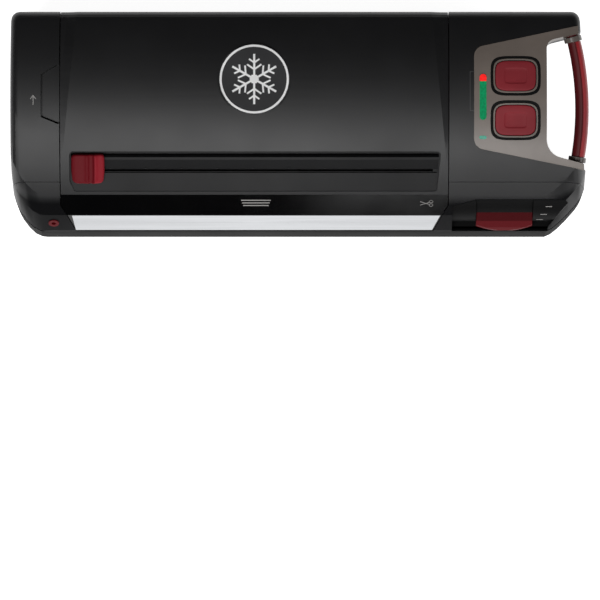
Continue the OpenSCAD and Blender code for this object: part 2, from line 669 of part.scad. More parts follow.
module drip_tray() color([0.2, 0.2, 0.22]) difference() {
    union() {
        translate([0, 0, deck_z - 1.4]) linear_extrude(1.8) rounded_box(tray_x[0], tray_x[1], tray_y[0],
            tray_y[1], 7);
        translate([0, 0, deck_z - tray_depth]) linear_extrude(tray_depth)
            rounded_box(tray_x[0] + 2.3, tray_x[1] - 2.3, tray_y[0] + 2.3, tray_y[1] - 2.3, 6);
    }
    translate([0, 0, deck_z - tray_depth + 1.6]) linear_extrude(tray_depth + 9)
        rounded_box(tray_x[0] + 4, tray_x[1] - 4, tray_y[0] + 4, tray_y[1] - 4, 5);
    on_hose_port() cylinder(r = hose_r + 0.2, h = 40, center = true);
}
module seal_bar() color([0.75, 0.72, 0.66])
    box([bar_x[0], bar_y - seal_bar_w / 2, deck_z - 2.5], [bar_x[1], bar_y + seal_bar_w / 2, deck_z + 1]);
module heating_strip() color([0.8, 0.8, 0.78])
    box([bar_x[0] + 4, bar_y - 1.5, deck_z + 1], [bar_x[1] - 4, bar_y + 1.5, deck_z + 1.3]);
module ptfe_tape() color([0.55, 0.4, 0.25])
    box([bar_x[0] + 1, bar_y - seal_bar_w / 2 + 0.3, deck_z + 1.3],
        [bar_x[1] - 1, bar_y + seal_bar_w / 2 - 0.3, deck_z + 1.55]);

// ---- base housing ----
screw_r = 2;
screw_y = [y_front + 22, y_rear - 16];
screw_x = [x_left + 26, lid_mid_x - 90, lid_mid_x + 90, notch_x - 14];
foot_r = 9;
foot_x = [x_left + 40, pod_r_x + 66];
foot_y = [y_front + 24, y_rear - 24];
inlet_x = pod_r_x + 60;
inlet_z = 26;
inlet_w = 24;
inlet_h = 16;
// Plan of the housing, seen from above, set in by g
function plan_end(side, g) = [for (t = ring_steps(side, g)) let (y = y_front + setback(side, t + g) + g
    + edge_d(t, edge_r - g), x = end_x(side) - side * (t + g),
    w = side > 0 ? end_taper * (1 - (t + g) / pod_w(side)) : 0) [x - w * max(0, y - taper_y), y]];
function plan_rear(side, g) = [for (t = ring_steps(side, g)) let (y = y_rear - g - edge_d(t, edge_r - g),
    x = end_x(side) - side * (t + g), w = side > 0 ? end_taper * (1 - (t + g) / pod_w(side)) : 0)
    [x - w * max(0, y - taper_y), y]];
function short_rear(p) = [for (i = [0:4]) p[i]];
module base_plan(g = 0) polygon(concat(reverse(plan_end(-1, g)), short_rear(plan_rear(-1, g)),
    reverse(short_rear(plan_rear(1, g))), plan_end(1, g)));
module base_form(g = 0, z0 = foot_h, z1 = base_top_z) intersection() {
    translate([0, 0, z0]) linear_extrude(z1 - z0) base_plan(g);
    along_x(x_left - 1, x_right + 1, [[y_front + g + 4, z0], [y_rear - g - 4, z0], [y_rear - g, z0 + 4],
        [y_rear - g, z1 + 1],
        [front_at_base_top + g, z1 + 1], [front_at_base_top + g, base_top_z], [y_front + g, lip_top_z],
            [y_front + g, z0 + 4]]);
}
module each_of(xs, ys) for (x = xs) for (y = ys) translate([x, y, 0]) children();
module base_housing() color([0.05, 0.05, 0.055]) difference() {
    union() {
        difference() {
            base_form();
            difference() {
                base_form(wall, foot_h + wall, base_top_z + 1);
                base_notch(wall);
                notch(wall);
            }
        }
        each_of(screw_x, screw_y) translate([0, 0, foot_h + 1]) cylinder(r = 4.5, h = 9);
    }
    base_notch();
    notch();
    each_of(screw_x, screw_y) translate([0, 0, -1]) cylinder(r = screw_r, h = 60);
    each_of(screw_x, screw_y) translate([0, 0, -1]) cylinder(r = screw_r + 2, h = foot_h + 3.2);
    each_of(foot_x, foot_y) translate([0, 0, -1]) cylinder(r = foot_r - 2, h = foot_h + 2);
    // cooling slots under the pump
    for (k = [0:6]) translate([pod_r_x + 30, k * 7 - 6, -1]) linear_extrude(foot_h + 9)
        rounded_box(0, 44, 0, 3, 1.4);
    box([inlet_x - inlet_w / 2, y_rear - 20, inlet_z - inlet_h / 2], [inlet_x + inlet_w / 2, y_rear + 9,
        inlet_z + inlet_h / 2]);
    // room for the work deck at the front and rear rails
    box([deck_x0, deck_front_y - 0.2, deck_z - deck_t], [deck_x1, 0, 90]);
}
module base_notch(grow = 0) box([notch_x - grow, notch_corners[1][1] - grow - 2, -1],
    [x_right + 20, y_rear + 20, 200]);
module rubber_feet() color([0.1, 0.1, 0.1]) each_of(foot_x, foot_y) {
    cylinder(r = foot_r, h = foot_h);
    cylinder(r = foot_r - 2, h = foot_h + 1);
}
module base_screws() color([0.6, 0.6, 0.62]) each_of(screw_x, screw_y) translate([0, 0, foot_h + 0.4])
    difference() {
    union() {
        cylinder(r = screw_r + 1.6, h = 1.8);
        cylinder(r = screw_r - 0.3, h = 9);
    }
    translate([0, 0, -1]) cylinder(r = 1.3, h = 2.2, $fn = 6);
}

// ---- lid ----
lid_line_rear_y = y_rear - 20;
// Underside limit of the lid, held clear of the deck and of the hinge sweep
lid_under = concat([[y_front - 9, lip_end[1]], [deck_front_y - 0.7, lip_end[1]],
    [deck_front_y - 0.7, deck_z + deck_clear], [ridge_y[0] - 1.2, deck_z + deck_clear],
    [ridge_y[1] - 1.6, ridge_z + deck_clear], [ridge_y[3] + 1, ridge_z + deck_clear],
    [trough_c[0] - trough_r, 63.5], [lid_line_rear_y - 0.5, 63.5], [lid_line_rear_y, 50], [y_rear + 9, 50]],
    [[y_rear + 9, 0], [y_front - 9, 0]]);
module lid_limit() along_x(-big, big, lid_under);
module lid_outer(x0, x1, d = 0) along_x(x0, x1, inset(outline(0, base_top_z / 2), d));
recess_x = [lid_x0 + 9.2, lid_x1 - 7.4];
track_y = crown_y - 108.5;
track_a = crown_angle(track_y);
track_x = [lid_x0 + 14, lid_x1 - 16.6];
groove_y = track_y + (crown_z(track_y) - ridge_z) * tan(track_a);
module on_track(x = 0, rise = 0) on_crown(x, track_y, rise) children();
tray_rear = 21.4;
tray_front = -21.6;
module slot_plan(x, r) {
    translate([x[0], -r]) square([x[1] - x[0], 2 * r]);
    for (c = x) translate([c, 0]) circle(r = r);
}
// Opening in the lid that holds the cutter tray
module cutter_opening(h0, grow = 0) on_track(0, h0) linear_extrude(40) polygon(inset(round_corners(
    [[recess_x[0] + 5.5, tray_front], [recess_x[1] - 4, tray_front], [recess_x[1], tray_rear],
     [recess_x[0], tray_rear], [recess_x[0], -11]], [3, 3, 4, 4, 8]), -grow));
fascia_depth = 1.6;
lid_boss_l = 7;
module lid_hinge_bosses() for (x = [lid_x0, lid_x1 - lid_boss_l])
    x_rod(x, x + lid_boss_l, hinge_y, hinge_z, hinge_boss_r);
crown_front = [crown_front_y, crown_front_z];
fascia_line = [crown_front * 0.97 + fascia_end * 0.03, fascia_end, lip_end];
strip_len = norm(fascia_end - lip_end);
strip_low = 0.03;
strip_line = [fascia_end + (lip_end - fascia_end) * (1 - strip_low - strip_h / strip_len),
    fascia_end + (lip_end - fascia_end) * (1 - strip_low)];
strip_t = 1;
cut_out = 2;
// Layer along a line of the lid's front, depth t deep, standing out by e
module front_layer(line, t, e = 0) along_x(lid_x0, lid_x1, concat(shifted(line, -e),
    reverse(shifted(line, t))));
module strip_form(e = 0) difference() {
    front_layer(strip_line, strip_t, e);
    // slanted ends
    nose_prism(1, seam_gap + 0.8);
    translate([0, 0, -1]) linear_extrude(big) polygon([[lid_x0 - 5, y_front + 18],
        [lid_x0 + 9.5, y_front + 18], [lid_x0 + 14.4, y_front], [lid_x0 - 5, y_front]]);
}
module lid_cover() color([0.06, 0.06, 0.065]) difference() {
    union() {
        difference() {
            lid_outer(lid_x0, lid_x1);
            lid_outer(lid_x0 + wall, lid_x1 - wall, wall + 0.9);
            nose_prism(-1, seam_gap);
            nose_prism(1, seam_gap);
        }
        intersection() {
            lid_hinge_bosses();
            lid_outer(lid_x0, lid_x1);
        }
    }
    lid_limit();
    shaft_notches();
    cutter_opening(-40);
    front_layer(fascia_line, fascia_depth, cut_out);
    on_crown(lid_mid_x, badge_y, -badge_depth) cylinder(r = badge_r + 1.2, h = 20, $fn = 96);
    hinge_bore(hinge_r + 0.06);
}
badge_y = crown_y - 16.3;
badge_depth = 1.6;
module badge_disc() color([0.15, 0.15, 0.16]) on_crown(lid_mid_x, badge_y, -badge_depth)
    cylinder(r = badge_r, h = badge_depth + 0.3, $fn = 96);
module badge_emblem() color([0.95, 0.95, 0.95]) on_crown(lid_mid_x, badge_y, 0.3) linear_extrude(0.35) {
    difference() {
        circle(r = badge_r - 0.8, $fn = 96);
        circle(r = badge_r - 3, $fn = 96);
    }
    for (k = [0:5]) rotate([0, 0, 60 * k]) {
        translate([-1.1, 0]) square([2.2, 26]);
        for (s = [-1, 1]) for (d = [[10, 9], [17, 6.5]]) translate([0, d[0]]) rotate([0, 0, 55 * s])
            translate([-0.9, 0]) square([1.8, d[1]]);
    }
    circle(r = 5, $fn = 6);
}
module front_fascia() color([0.01, 0.01, 0.012]) difference() {
    front_layer(fascia_line, fascia_depth);
    lid_limit();
    nose_prism(-1, seam_gap);
    nose_prism(1, seam_gap);
    strip_form(cut_out);
    cutter_opening(-40, 0.2);
}
module bright_strip() color([0.8, 0.81, 0.83]) strip_form();

rail_h = [-10.5, -2.2];
tray_wall = 1.5;
// Section across the tray: slot lands, rail and rear wall
tray_section = [[tray_front + 0.15, -5.5], [tray_front + 0.15, -2.2], [-slot_w / 2 - 1, -3.2],
    [-slot_w / 2 - 0.6, -5.2], [slot_w / 2 + 0.5, -5.2], [slot_w / 2 + 1, -4.6], [12, rail_h[1] - 0.4],
    [14.5, rail_h[1] - 0.8], [16, rail_h[1] - 3], [16.4, rail_h[0]], [tray_rear - 1.2, rail_h[0]],
    [tray_rear - 1.2, -2.5], [tray_rear - 0.15, -2.5], [tray_rear - 0.15, rail_h[0] - 2.4],
    [13, rail_h[0] - 2.4], [12, -8], [-14, -8]];
end_wall_section = [[-30, -8], [12, -8], [13, rail_h[0] - 2.4], [30, rail_h[0] - 2.4], [30, -2.6],
    [-30, -2.6]];
module cutter_tray() color([0.1, 0.1, 0.105]) difference() {
    union() {
        intersection() {
            on_track() along_x(recess_x[0], recess_x[1], tray_section);
            cutter_opening(-30, -0.15);
        }
        intersection() {
            difference() {
                cutter_opening(-30, -0.15);
                cutter_opening(-31, -0.15 - tray_wall);
            }
            on_track() along_x(recess_x[0] - 1, recess_x[1] + 1, end_wall_section);
        }
    }
    on_track(0, -40) linear_extrude(80) slot_plan(track_x, slot_w / 2);
}

// Panel that closes the lid from below
lid_floor_z = deck_z + 7;
arch_r = trough_r + 4;
inner_t = 2.2;
inner_line = concat([[y_front + 13.2, lid_floor_z], [ridge_y[0] - 3.4, lid_floor_z],
    [ridge_y[1] - 3.8, ridge_z + 2.5], [ridge_y[3] + 2, ridge_z + 2.5],
    [trough_c[0] - arch_r - 2, 66]], [for (p = reverse(arc(trough_c, arch_r, 8, 172, 26))) p],
    [[lid_line_rear_y - 2, 66], [lid_line_rear_y + 1.5, 55], [y_rear - 4.2, 55]]);
module lid_inner() color([0.1, 0.1, 0.11]) difference() {
    intersection() {
        along_x(lid_x0 + wall + 0.2, lid_x1 - wall - 0.2, band(inner_line, inner_t));
        lid_outer(lid_x0, lid_x1, wall + 1.1);
    }
    lid_limit();
    hook_windows();
    shaft_notches();
    nose_prism(-1, seam_gap + wall);
    nose_prism(1, seam_gap + wall);
    on_track(0, -60) translate([track_x[0] - 2, -slot_w / 2 - 0.6, 0])
        cube([track_x[1] - track_x[0] + 4, slot_w + 1.2, 80]);
    for (x = [lid_x0, lid_x1 - lid_boss_l]) x_rod(x - 0.3, x + lid_boss_l + 0.3, hinge_y, hinge_z,
        hinge_boss_r + 0.3);
}
gasket_top_z = deck_z + 2.8;
soft_gap = 0.3;
module upper_gasket() color([0.12, 0.12, 0.12]) translate([0, 0, gasket_top_z + soft_gap])
    gasket_ring(0, lid_floor_z - gasket_top_z - soft_gap);
module pressure_strip() color([0.55, 0.12, 0.1])
    box([bar_x[0] - 2, bar_y - 2.2, deck_z + 1.55 + soft_gap], [bar_x[1] + 2, bar_y + 3, lid_floor_z]);
module lid_catches() color([0.08, 0.08, 0.09]) for (x = hook_x)
    box([x - 3.5, latch_y - hook_nose - 6.5, deck_z + 2.2], [x + hook_w + 3.5, latch_y - hook_nose - 2,
        lid_floor_z]);

// ---- cutter ----
knob_x = recess_x[0] + 2.2 + knob_w / 2;
knob_y0 = 19.4;
knob_y1 = -11.6;
knob_h = 7;
module cutter_knob() color([0.5, 0.04, 0.07]) on_track(knob_x) difference() {
    translate([0, knob_y0, 0]) rotate([90, 0, 0]) linear_extrude(knob_y0 - knob_y1)
        polygon([[-knob_w / 2, -1.4], [knob_w / 2, -1.4],
        [knob_w / 2 - 0.6, 4.4], [knob_w / 2 - 4, 5.6], [knob_w / 2 - 8, 5], [knob_w / 2 - 11, knob_h],
            [knob_w / 2 - 14, 5.2],
        [0, 5], [-2, knob_h - 0.4], [-4.5, 5.2], [-8, 5.6], [-knob_w / 2 + 3, 5.2],
            [-knob_w / 2 + 0.6, 3.8]]);
    // seat of the carriage
    translate([-knob_w / 2 + 4, -5, -2]) cube([knob_w - 8, 10, 4]);
}
carriage_l = knob_w - 8;
module cutter_carriage() color([0.06, 0.06, 0.06]) on_track(knob_x) {
    translate([-carriage_l / 2 + 0.2, -4.8, -1.9]) cube([carriage_l - 0.4, 9.6, 3.9]);
    difference() {
        translate([-5, -slot_w / 2 + 0.2, -9]) cube([10, slot_w - 0.4, 7.2]);
        translate([-4, -0.3, -10]) cube([8, 0.6, 9]);
    }
}
blade_tip = -(crown_z(track_y) - ridge_z) / cos(track_a) - 2.4;
module cutter_blade() color([0.75, 0.76, 0.78]) on_track(knob_x) translate([0, 0.3, 0]) rotate([90, 0, 0])
    linear_extrude(0.6)
    polygon([[-4, -1.9], [-4, blade_tip + 5], [0, blade_tip], [4, blade_tip + 5], [4, -1.9]]);

// ---- hinge pins ----
module hinge_pins() color([0.7, 0.7, 0.72]) {
    x_rod(pod_l_x - pod_boss_l, lid_x0 + lid_boss_l, hinge_y, hinge_z, hinge_r);
    x_rod(lid_x1 - lid_boss_l, pod_r_x + pod_boss_l, hinge_y, hinge_z, hinge_r);
}

// ---- electronics under the control panel ----
board_rise = -19.6;
board_x = [lens_x - 5.5, notch_x - 8];
module on_board() on_button(0.5, board_rise) children();
module control_board() color([0.05, 0.3, 0.14]) on_board()
    translate([board_x[0] - button_x, -52, -1.6]) cube([board_x[1] - board_x[0], 96, 1.6]);
module tact_switches() color([0.1, 0.1, 0.1]) for (i = [0, 1]) intersection() {
    on_button(i, stem_end - button_travel - 0.2 - 9) translate([-3, -3, 0]) cube([6, 6, 9]);
    on_board() translate([-60, -60, 0]) cube([120, 120, 30]);
}
module status_leds() color([0.9, 0.95, 0.9]) intersection() {
    union() {
        for (k = [0:4]) on_crown(lens_x, lens_y0 - 3 - k * 9.5, -lens_depth - 15) cylinder(r = 2, h = 14.2);
        on_crown(lens_x, closed_y, -lens_depth - 15) cylinder(r = 1.5, h = 14.2);
    }
    on_board() translate([-60, -60, 0]) cube([120, 120, 30]);
}

// ---- vacuum pump ----
pump_y = crown_y - 44;
pump_z = 34;
motor_r = 18;
motor_x = [pod_r_x + 37.5, pod_r_x + 92];
crank_x = [pod_r_x + 20, pod_r_x + 26];
ecc_e = pump_stroke / 2;
ecc_r = 8;
ring_in_r = ecc_r + 2 * ecc_e + 0.3;
ring_out_r = ring_in_r + 2.6;
shaft_r = 2;
crank_mid = (crank_x[0] + crank_x[1]) / 2;
case_x = [pod_r_x + 14, motor_x[0]];
case_r = ring_out_r + ecc_e + 2.5;
piston_z = pump_z + ring_out_r + 8;
cyl_top_z = piston_z + 18;
module pump_motor() color([0.6, 0.6, 0.62]) difference() {
    union() {
        x_rod(motor_x[0], motor_x[1], pump_y, pump_z, motor_r);
        x_rod(motor_x[1], motor_x[1] + 3, pump_y, pump_z, 6);
    }
    x_rod(motor_x[0] - 1, motor_x[1] - 6, pump_y, pump_z, shaft_r + 0.05);
}
module pump_crank() color([0.72, 0.72, 0.74]) {
    x_rod(crank_x[0], motor_x[1] - 8, pump_y, pump_z, shaft_r);
    x_rod(crank_x[0], crank_x[1], pump_y + ecc_e, pump_z, ecc_r);
}
module pump_piston() color([0.8, 0.8, 0.75]) difference() {
    union() {
        x_rod(crank_x[0] + 0.5, crank_x[1] - 0.5, pump_y, pump_z, ring_out_r);
        translate([crank_mid - 2.4, pump_y - 3, pump_z + ring_in_r + 1])
            cube([4.8, 6, piston_z - pump_z - ring_in_r]);
        translate([crank_mid, pump_y, piston_z]) cylinder(r = pump_bore_r - 0.1, h = 7);
    }
    x_rod(crank_x[0] - 1, crank_x[1] + 1, pump_y, pump_z, ring_in_r);
}
module pump_body() color([0.12, 0.12, 0.13]) difference() {
    union() {
        x_rod(case_x[0], case_x[1], pump_y, pump_z, case_r);
        translate([crank_mid, pump_y, pump_z + 8])
            cylinder(r = pump_bore_r + 3, h = cyl_top_z - pump_z - 8);
    }
    x_rod(case_x[0] - 1, case_x[1] - 3, pump_y, pump_z, case_r - 2.2);
    x_rod(case_x[0] - 1, case_x[1] + 1, pump_y, pump_z, shaft_r + 1);
    translate([crank_mid, pump_y, pump_z]) cylinder(r = pump_bore_r, h = 100);
}
nozzle_r = 3;
module pump_cap() color([0.2, 0.2, 0.22]) {
    translate([crank_mid, pump_y, cyl_top_z]) difference() {
        cylinder(r = pump_bore_r + 4, h = 5);
        translate([0, 0, -1]) cylinder(r = nozzle_r - 1.2, h = 9);
    }
    translate([crank_mid, pump_y, cyl_top_z + 5]) difference() {
        cylinder(r = nozzle_r, h = 6);
        translate([0, 0, -1]) cylinder(r = nozzle_r - 1.2, h = 9);
    }
}

// ---- transformer and power board ----
core_x = pod_r_x + 42;
core_y = y_rear - 33;
core_z = foot_h + wall;
module transformer_core() color([0.35, 0.35, 0.37]) difference() {
    box([core_x - 30, core_y - 11, core_z], [core_x + 30, core_y + 11, core_z + 50]);
    for (s = [-1, 1]) box([core_x + s * 15 - 6, core_y - 20, core_z + 10],
        [core_x + s * 15 + 6, core_y + 20, core_z + 40]);
}
module transformer_coil() color([0.65, 0.38, 0.2]) difference() {
    box([core_x - 20, core_y - 18, core_z + 11], [core_x + 20, core_y + 18, core_z + 39]);
    box([core_x - 9, core_y - 11, core_z + 5], [core_x + 9, core_y + 11, core_z + 45]);
    for (s = [-1, 1]) box([core_x + s * 15 - 30 * (1 - s) / 2 + 6 * s, core_y - 11, core_z],
        [core_x + s * 15 + 30 * (1 + s) / 2 + 6 * s, core_y + 11, core_z + 50]);
}
module power_board() color([0.05, 0.3, 0.14]) box([x_left + 8, y_rear - 90, foot_h + wall + 6],
    [pod_l_x - 8, y_rear - 26, foot_h + wall + 7.6]);
module power_inlet() color([0.03, 0.03, 0.03]) difference() {
    box([inlet_x - inlet_w / 2, y_rear - 14, inlet_z - inlet_h / 2], [inlet_x + inlet_w / 2, y_rear,
        inlet_z + inlet_h / 2]);
    translate([inlet_x, y_rear + 1, inlet_z]) rotate([90, 0, 0]) linear_extrude(11) {
        square([8, 7], center = true);
        for (s = [-1, 1]) translate([s * 4, 0]) circle(r = 4.2);
    }
}

// ---- hoses ----
hose_r = 3.4;
hose_port_x = chan_x[1] - gasket_w - 20;
module on_hose_port() translate([hose_port_x, (chan_y[0] + chan_y[1]) / 2, deck_z - tray_depth]) children();
function smooth(p, n) = [for (i = [0:len(p) - 2]) let (a = p[max(i - 1, 0)], b = p[i], c = p[i + 1],
    d = p[min(i + 2, len(p) - 1)])
    for (k = [0:n - 1]) let (t = k / n) 0.5 * (2 * b + (c - a) * t + (2 * a - 5 * b + 4 * c - d) * t * t + (3 * b - a - 3 * c + d) * t * t * t)];
module tube(route, r, sides = 10) {
    p = concat(smooth(route, 4), [route[len(route) - 1]]);
    loft([for (i = [0:len(p) - 1]) let (t = unit(p[min(i + 1, len(p) - 1)] - p[max(i - 1, 0)]),
        u = unit(cross(abs(t[2]) > 0.8 ? [0, 1, 0] : [0, 0, 1], t)), v = cross(t, u))
        [for (k = [0:sides - 1]) p[i] + r * (cos(360 * k / sides) * u + sin(360 * k / sides) * v)]]);
}
hose_start = [hose_port_x, (chan_y[0] + chan_y[1]) / 2, deck_z - tray_depth];
module vacuum_hose() color([0.7, 0.7, 0.68])
    tube([hose_start + [0, 0, 1.2], hose_start - [0, 0, 6], hose_start + [6, 12, -13],
    [pod_r_x + 2, pump_y - 42, 18], [pod_r_x + 30, pump_y - 34, 26], [crank_mid + 2, pump_y - 26,
        cyl_top_z - 6],
    [crank_mid, pump_y - 14, cyl_top_z + 11], [crank_mid, pump_y - 2, cyl_top_z + 16],
        [crank_mid, pump_y, cyl_top_z + 11]], hose_r);
module port_hose() color([0.7, 0.7, 0.68]) {
    s = [port_x, lip_end[0] + (fascia_end[0] - lip_end[0]) * port_share,
        lip_end[1] + (fascia_end[1] - lip_end[1]) * port_share];
    n = [0, sin(slope_a), -cos(slope_a)];
    tube([s + n * (port_l + 0.5), s + n * (port_l + 8), [port_x - 8, latch_y + 16, 30],
        [port_x - 10, latch_y + 50, 20], [pod_l_x + 14, latch_y + 72, 12],
        [lid_mid_x, latch_y + 72, 12], [pod_r_x - 20, latch_y + 72, 12]], 3);
}

base_housing();
rubber_feet();
base_screws();
work_deck();
lower_gasket();
drip_tray();
seal_bar();
heating_strip();
ptfe_tape();
left_pod_cover();
left_front_cap();
accessory_port();
right_pod_cover();
right_front_cap();
latch_plate();
control_panel();
button_gaskets();
button_rings();
sealing_lens();
progress_lens();
closed_lens();
handle_core();
handle_grip();
handle_collars();
hinge_pins();
control_board();
tact_switches();
status_leds();
pump_motor();
pump_body();
pump_cap();
transformer_core();
transformer_coil();
power_board();
vacuum_hose();
port_hose();
power_inlet();
lid_cover();
lid_inner();
front_fascia();
bright_strip();
cutter_tray();
upper_gasket();
pressure_strip();
badge_disc();
badge_emblem();
lid_catches();
cutter_knob();
cutter_carriage();
cutter_blade();
latch_lever();
latch_drum();
latch_shaft();
latch_bail();
latch_hooks();
seal_button();
vacuum_button();
pump_crank();
pump_piston();
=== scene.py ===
"""Countertop vacuum sealer: finishes, soft-edged shells and small detail over its CAD model."""

import json
import math

import bmesh
import bpy
from mathutils import Matrix, Vector

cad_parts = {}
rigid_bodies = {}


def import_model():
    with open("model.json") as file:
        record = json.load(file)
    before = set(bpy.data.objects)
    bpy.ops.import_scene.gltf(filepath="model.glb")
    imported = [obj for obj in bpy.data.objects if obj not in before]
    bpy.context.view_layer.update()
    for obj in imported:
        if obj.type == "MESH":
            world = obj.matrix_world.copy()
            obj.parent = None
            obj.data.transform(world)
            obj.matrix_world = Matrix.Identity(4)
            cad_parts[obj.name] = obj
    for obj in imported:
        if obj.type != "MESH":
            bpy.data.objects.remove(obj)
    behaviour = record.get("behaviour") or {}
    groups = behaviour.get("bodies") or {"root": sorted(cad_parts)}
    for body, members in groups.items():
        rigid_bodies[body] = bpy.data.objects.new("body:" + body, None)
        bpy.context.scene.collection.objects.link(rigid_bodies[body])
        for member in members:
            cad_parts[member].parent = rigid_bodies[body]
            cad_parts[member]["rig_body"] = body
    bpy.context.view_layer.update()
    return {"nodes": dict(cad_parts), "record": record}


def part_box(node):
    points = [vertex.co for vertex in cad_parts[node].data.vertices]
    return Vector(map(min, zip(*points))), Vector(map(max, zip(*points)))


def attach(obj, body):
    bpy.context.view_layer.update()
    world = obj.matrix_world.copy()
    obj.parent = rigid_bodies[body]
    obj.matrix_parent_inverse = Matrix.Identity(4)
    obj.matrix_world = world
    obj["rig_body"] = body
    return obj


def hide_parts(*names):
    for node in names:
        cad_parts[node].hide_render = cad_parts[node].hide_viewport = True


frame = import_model()

bl_info = {
    "name": "Vacuum sealer",
    "version": (1, 0, 0),
    "blender": (4, 5, 0),
    "location": "3D View > Sidebar > Sealer",
    "description": "Finishes and detail pieces of a countertop vacuum sealer",
    "category": "Object",
}

MM = 0.001

CAMERA_AWAY = 5.0
CAMERA_SEEN_FROM = 79.729
CAMERA_PITCH = 81.692
CAMERA_LENS = 285.48
CAMERA_AIM_Y = -2.5 * MM

# ---- places taken from the CAD model ----
Y_REAR = 110 * MM
CROWN_Y = 52.5 * MM
CROWN_FRONT = Vector((0, -77.5 * MM, 83.5 * MM))
CROWN_TOP = 120 * MM
CROWN_RUN = CROWN_Y - CROWN_FRONT.y
CROWN_DROP = CROWN_TOP - CROWN_FRONT.z
CROWN_R = (CROWN_RUN**2 + CROWN_DROP**2) / (2 * CROWN_DROP)
CROWN_Z = CROWN_TOP - CROWN_R
FASCIA_END = Vector((0, -97.1 * MM, 69 * MM))
LID_LO, LID_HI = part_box("lid_cover")
LID_MID_X = (LID_LO.x + LID_HI.x) / 2
X_RIGHT = 298 * MM
TRACK_Y = -56 * MM
SLOT_X = (LID_LO.x + 14 * MM, LID_HI.x - 16.6 * MM)
BUTTON_X = X_RIGHT - 76.6 * MM
BUTTON_PITCH = 45.6 * MM
SEAL_BUTTON_Y = 39.5 * MM
BUTTON_HALF = (20.8 * MM, 15.6 * MM)
LENS_X = X_RIGHT - 110.1 * MM
HANDLE_R = 300 * MM
HANDLE_HALF = (7.2 * MM, 8.8 * MM)
HANDLE_Y = 4 * MM
HANDLE_DROP = 24 * MM
HANDLE_ENDS = (-11.8, 16.2)
COLLAR_END = 2.7
LATCH_AXIS = Vector((0, -74 * MM, 50 * MM))
LATCH_R = 26 * MM
TROUGH_C = (40 * MM, 60 * MM)
TROUGH_R = 40 * MM

# ---- where the printed marks stand ----
MARKS_UP_FASCIA = 0.56
FILM_MARK_X = 1.5 * MM
SHEARS_MARK_X = 177 * MM
# x in millimetres and the angle round the latch axis, from open to closed
LEVER_STOPS = ((257, 56), (252, 34), (248, 12))


def crown_height(y):
    return CROWN_Z + math.sqrt(CROWN_R**2 - (y - CROWN_Y) ** 2)


def crown_tilt(y):
    return math.asin((CROWN_Y - y) / CROWN_R)


def crown_frame(x, y, rise=0.0, turn=0.0):
    """Matrix on the crown at x and y, with z along its normal and an extra turn about X."""
    return (
        Matrix.Translation((x, CROWN_Y, CROWN_Z))
        @ Matrix.Rotation(crown_tilt(y) + turn, 4, "X")
        @ Matrix.Translation((0, 0, CROWN_R + rise))
    )


def slope_frame(x, low, high, share, rise=0.0):
    """Matrix on a flat front slope from low to high, with z along its outward normal."""
    p = low.lerp(high, share)
    angle = math.atan2(high.z - low.z, high.y - low.y)
    return (
        Matrix.Translation((x, p.y, p.z))
        @ Matrix.Rotation(angle, 4, "X")
        @ Matrix.Translation((0, 0, rise))
    )


# ---------------------------------------------------------------- settings


def colour_prop(name, about, default):
    return bpy.props.FloatVectorProperty(
        name=name,
        description=about,
        subtype="COLOR",
        size=3,
        min=0,
        max=1,
        default=default,
    )


def length_prop(name, about, default):
    return bpy.props.FloatProperty(
        name=name, description=about, default=default, min=0, unit="LENGTH", precision=5
    )


class SealerColours(bpy.types.PropertyGroup):
    shell: colour_prop("Shell", "Grained black of the covers", (0.0065, 0.0065, 0.0072))
    gloss: colour_prop("Gloss", "Polished black of the fascia", (0.0012, 0.0012, 0.0014))
    taupe: colour_prop("Panel", "Satin taupe of the control panel", (0.165, 0.137, 0.118))
    button: colour_prop("Buttons", "Silicone red of the two buttons", (0.24, 0.02, 0.028))
    knob: colour_prop("Knob", "Moulded red of the cutter knob", (0.135, 0.0022, 0.007))
    lever: colour_prop("Lever", "Dark red of the latch lever", (0.058, 0.0018, 0.0035))
    # The grip's bright red on the handle's outer side and the core's darker maroon on its inner
    # side are partly their own colours and partly painted light and painted shade on the rounded
    # handle.
    grip: colour_prop("Grip", "Soft red of the handle's outer side", (0.32, 0.016, 0.022))
    core: colour_prop("Handle", "Maroon of the handle's inner side", (0.085, 0.0045, 0.0065))
    badge: colour_prop("Badge", "Dark grey of the badge", (0.034, 0.034, 0.036))
    red_light: colour_prop("Sealing light", "Red light on the panel", (0.78, 0.014, 0.012))
    green_light: colour_prop("Progress light", "Green light on the panel", (0.0, 0.21, 0.075))


class SealerSizes(bpy.types.PropertyGroup):
    rib_count: bpy.props.IntProperty(
        name="Grip ribs", description="Fine ribs on the grip", default=96, min=8, max=400
    )
    rib_radius: length_prop("Grip rib", "Radius of one rib of the grip", 0.32 * MM)
    bump_count: bpy.props.IntProperty(
        name="Slot bumps", description="Bumps beside the cutter slot", default=9, min=2, max=40
    )
    bump_radius: length_prop("Slot bump", "Radius of one slot bump", 0.9 * MM)
    facet_drop: length_prop("Side facet", "How far the lid's sides fall away", 2.2 * MM)
    soft_edge: length_prop("Soft edge", "Rounding of the panel's edges", 0.7 * MM)
    mark_line: length_prop("Mark line", "Width of a printed line", 0.55 * MM)
    trough_ribs: bpy.props.IntProperty(
        name="Trough ribs", description="Ribs that carry the roll", default=9, min=2, max=40
    )


# ---------------------------------------------------------------- materials


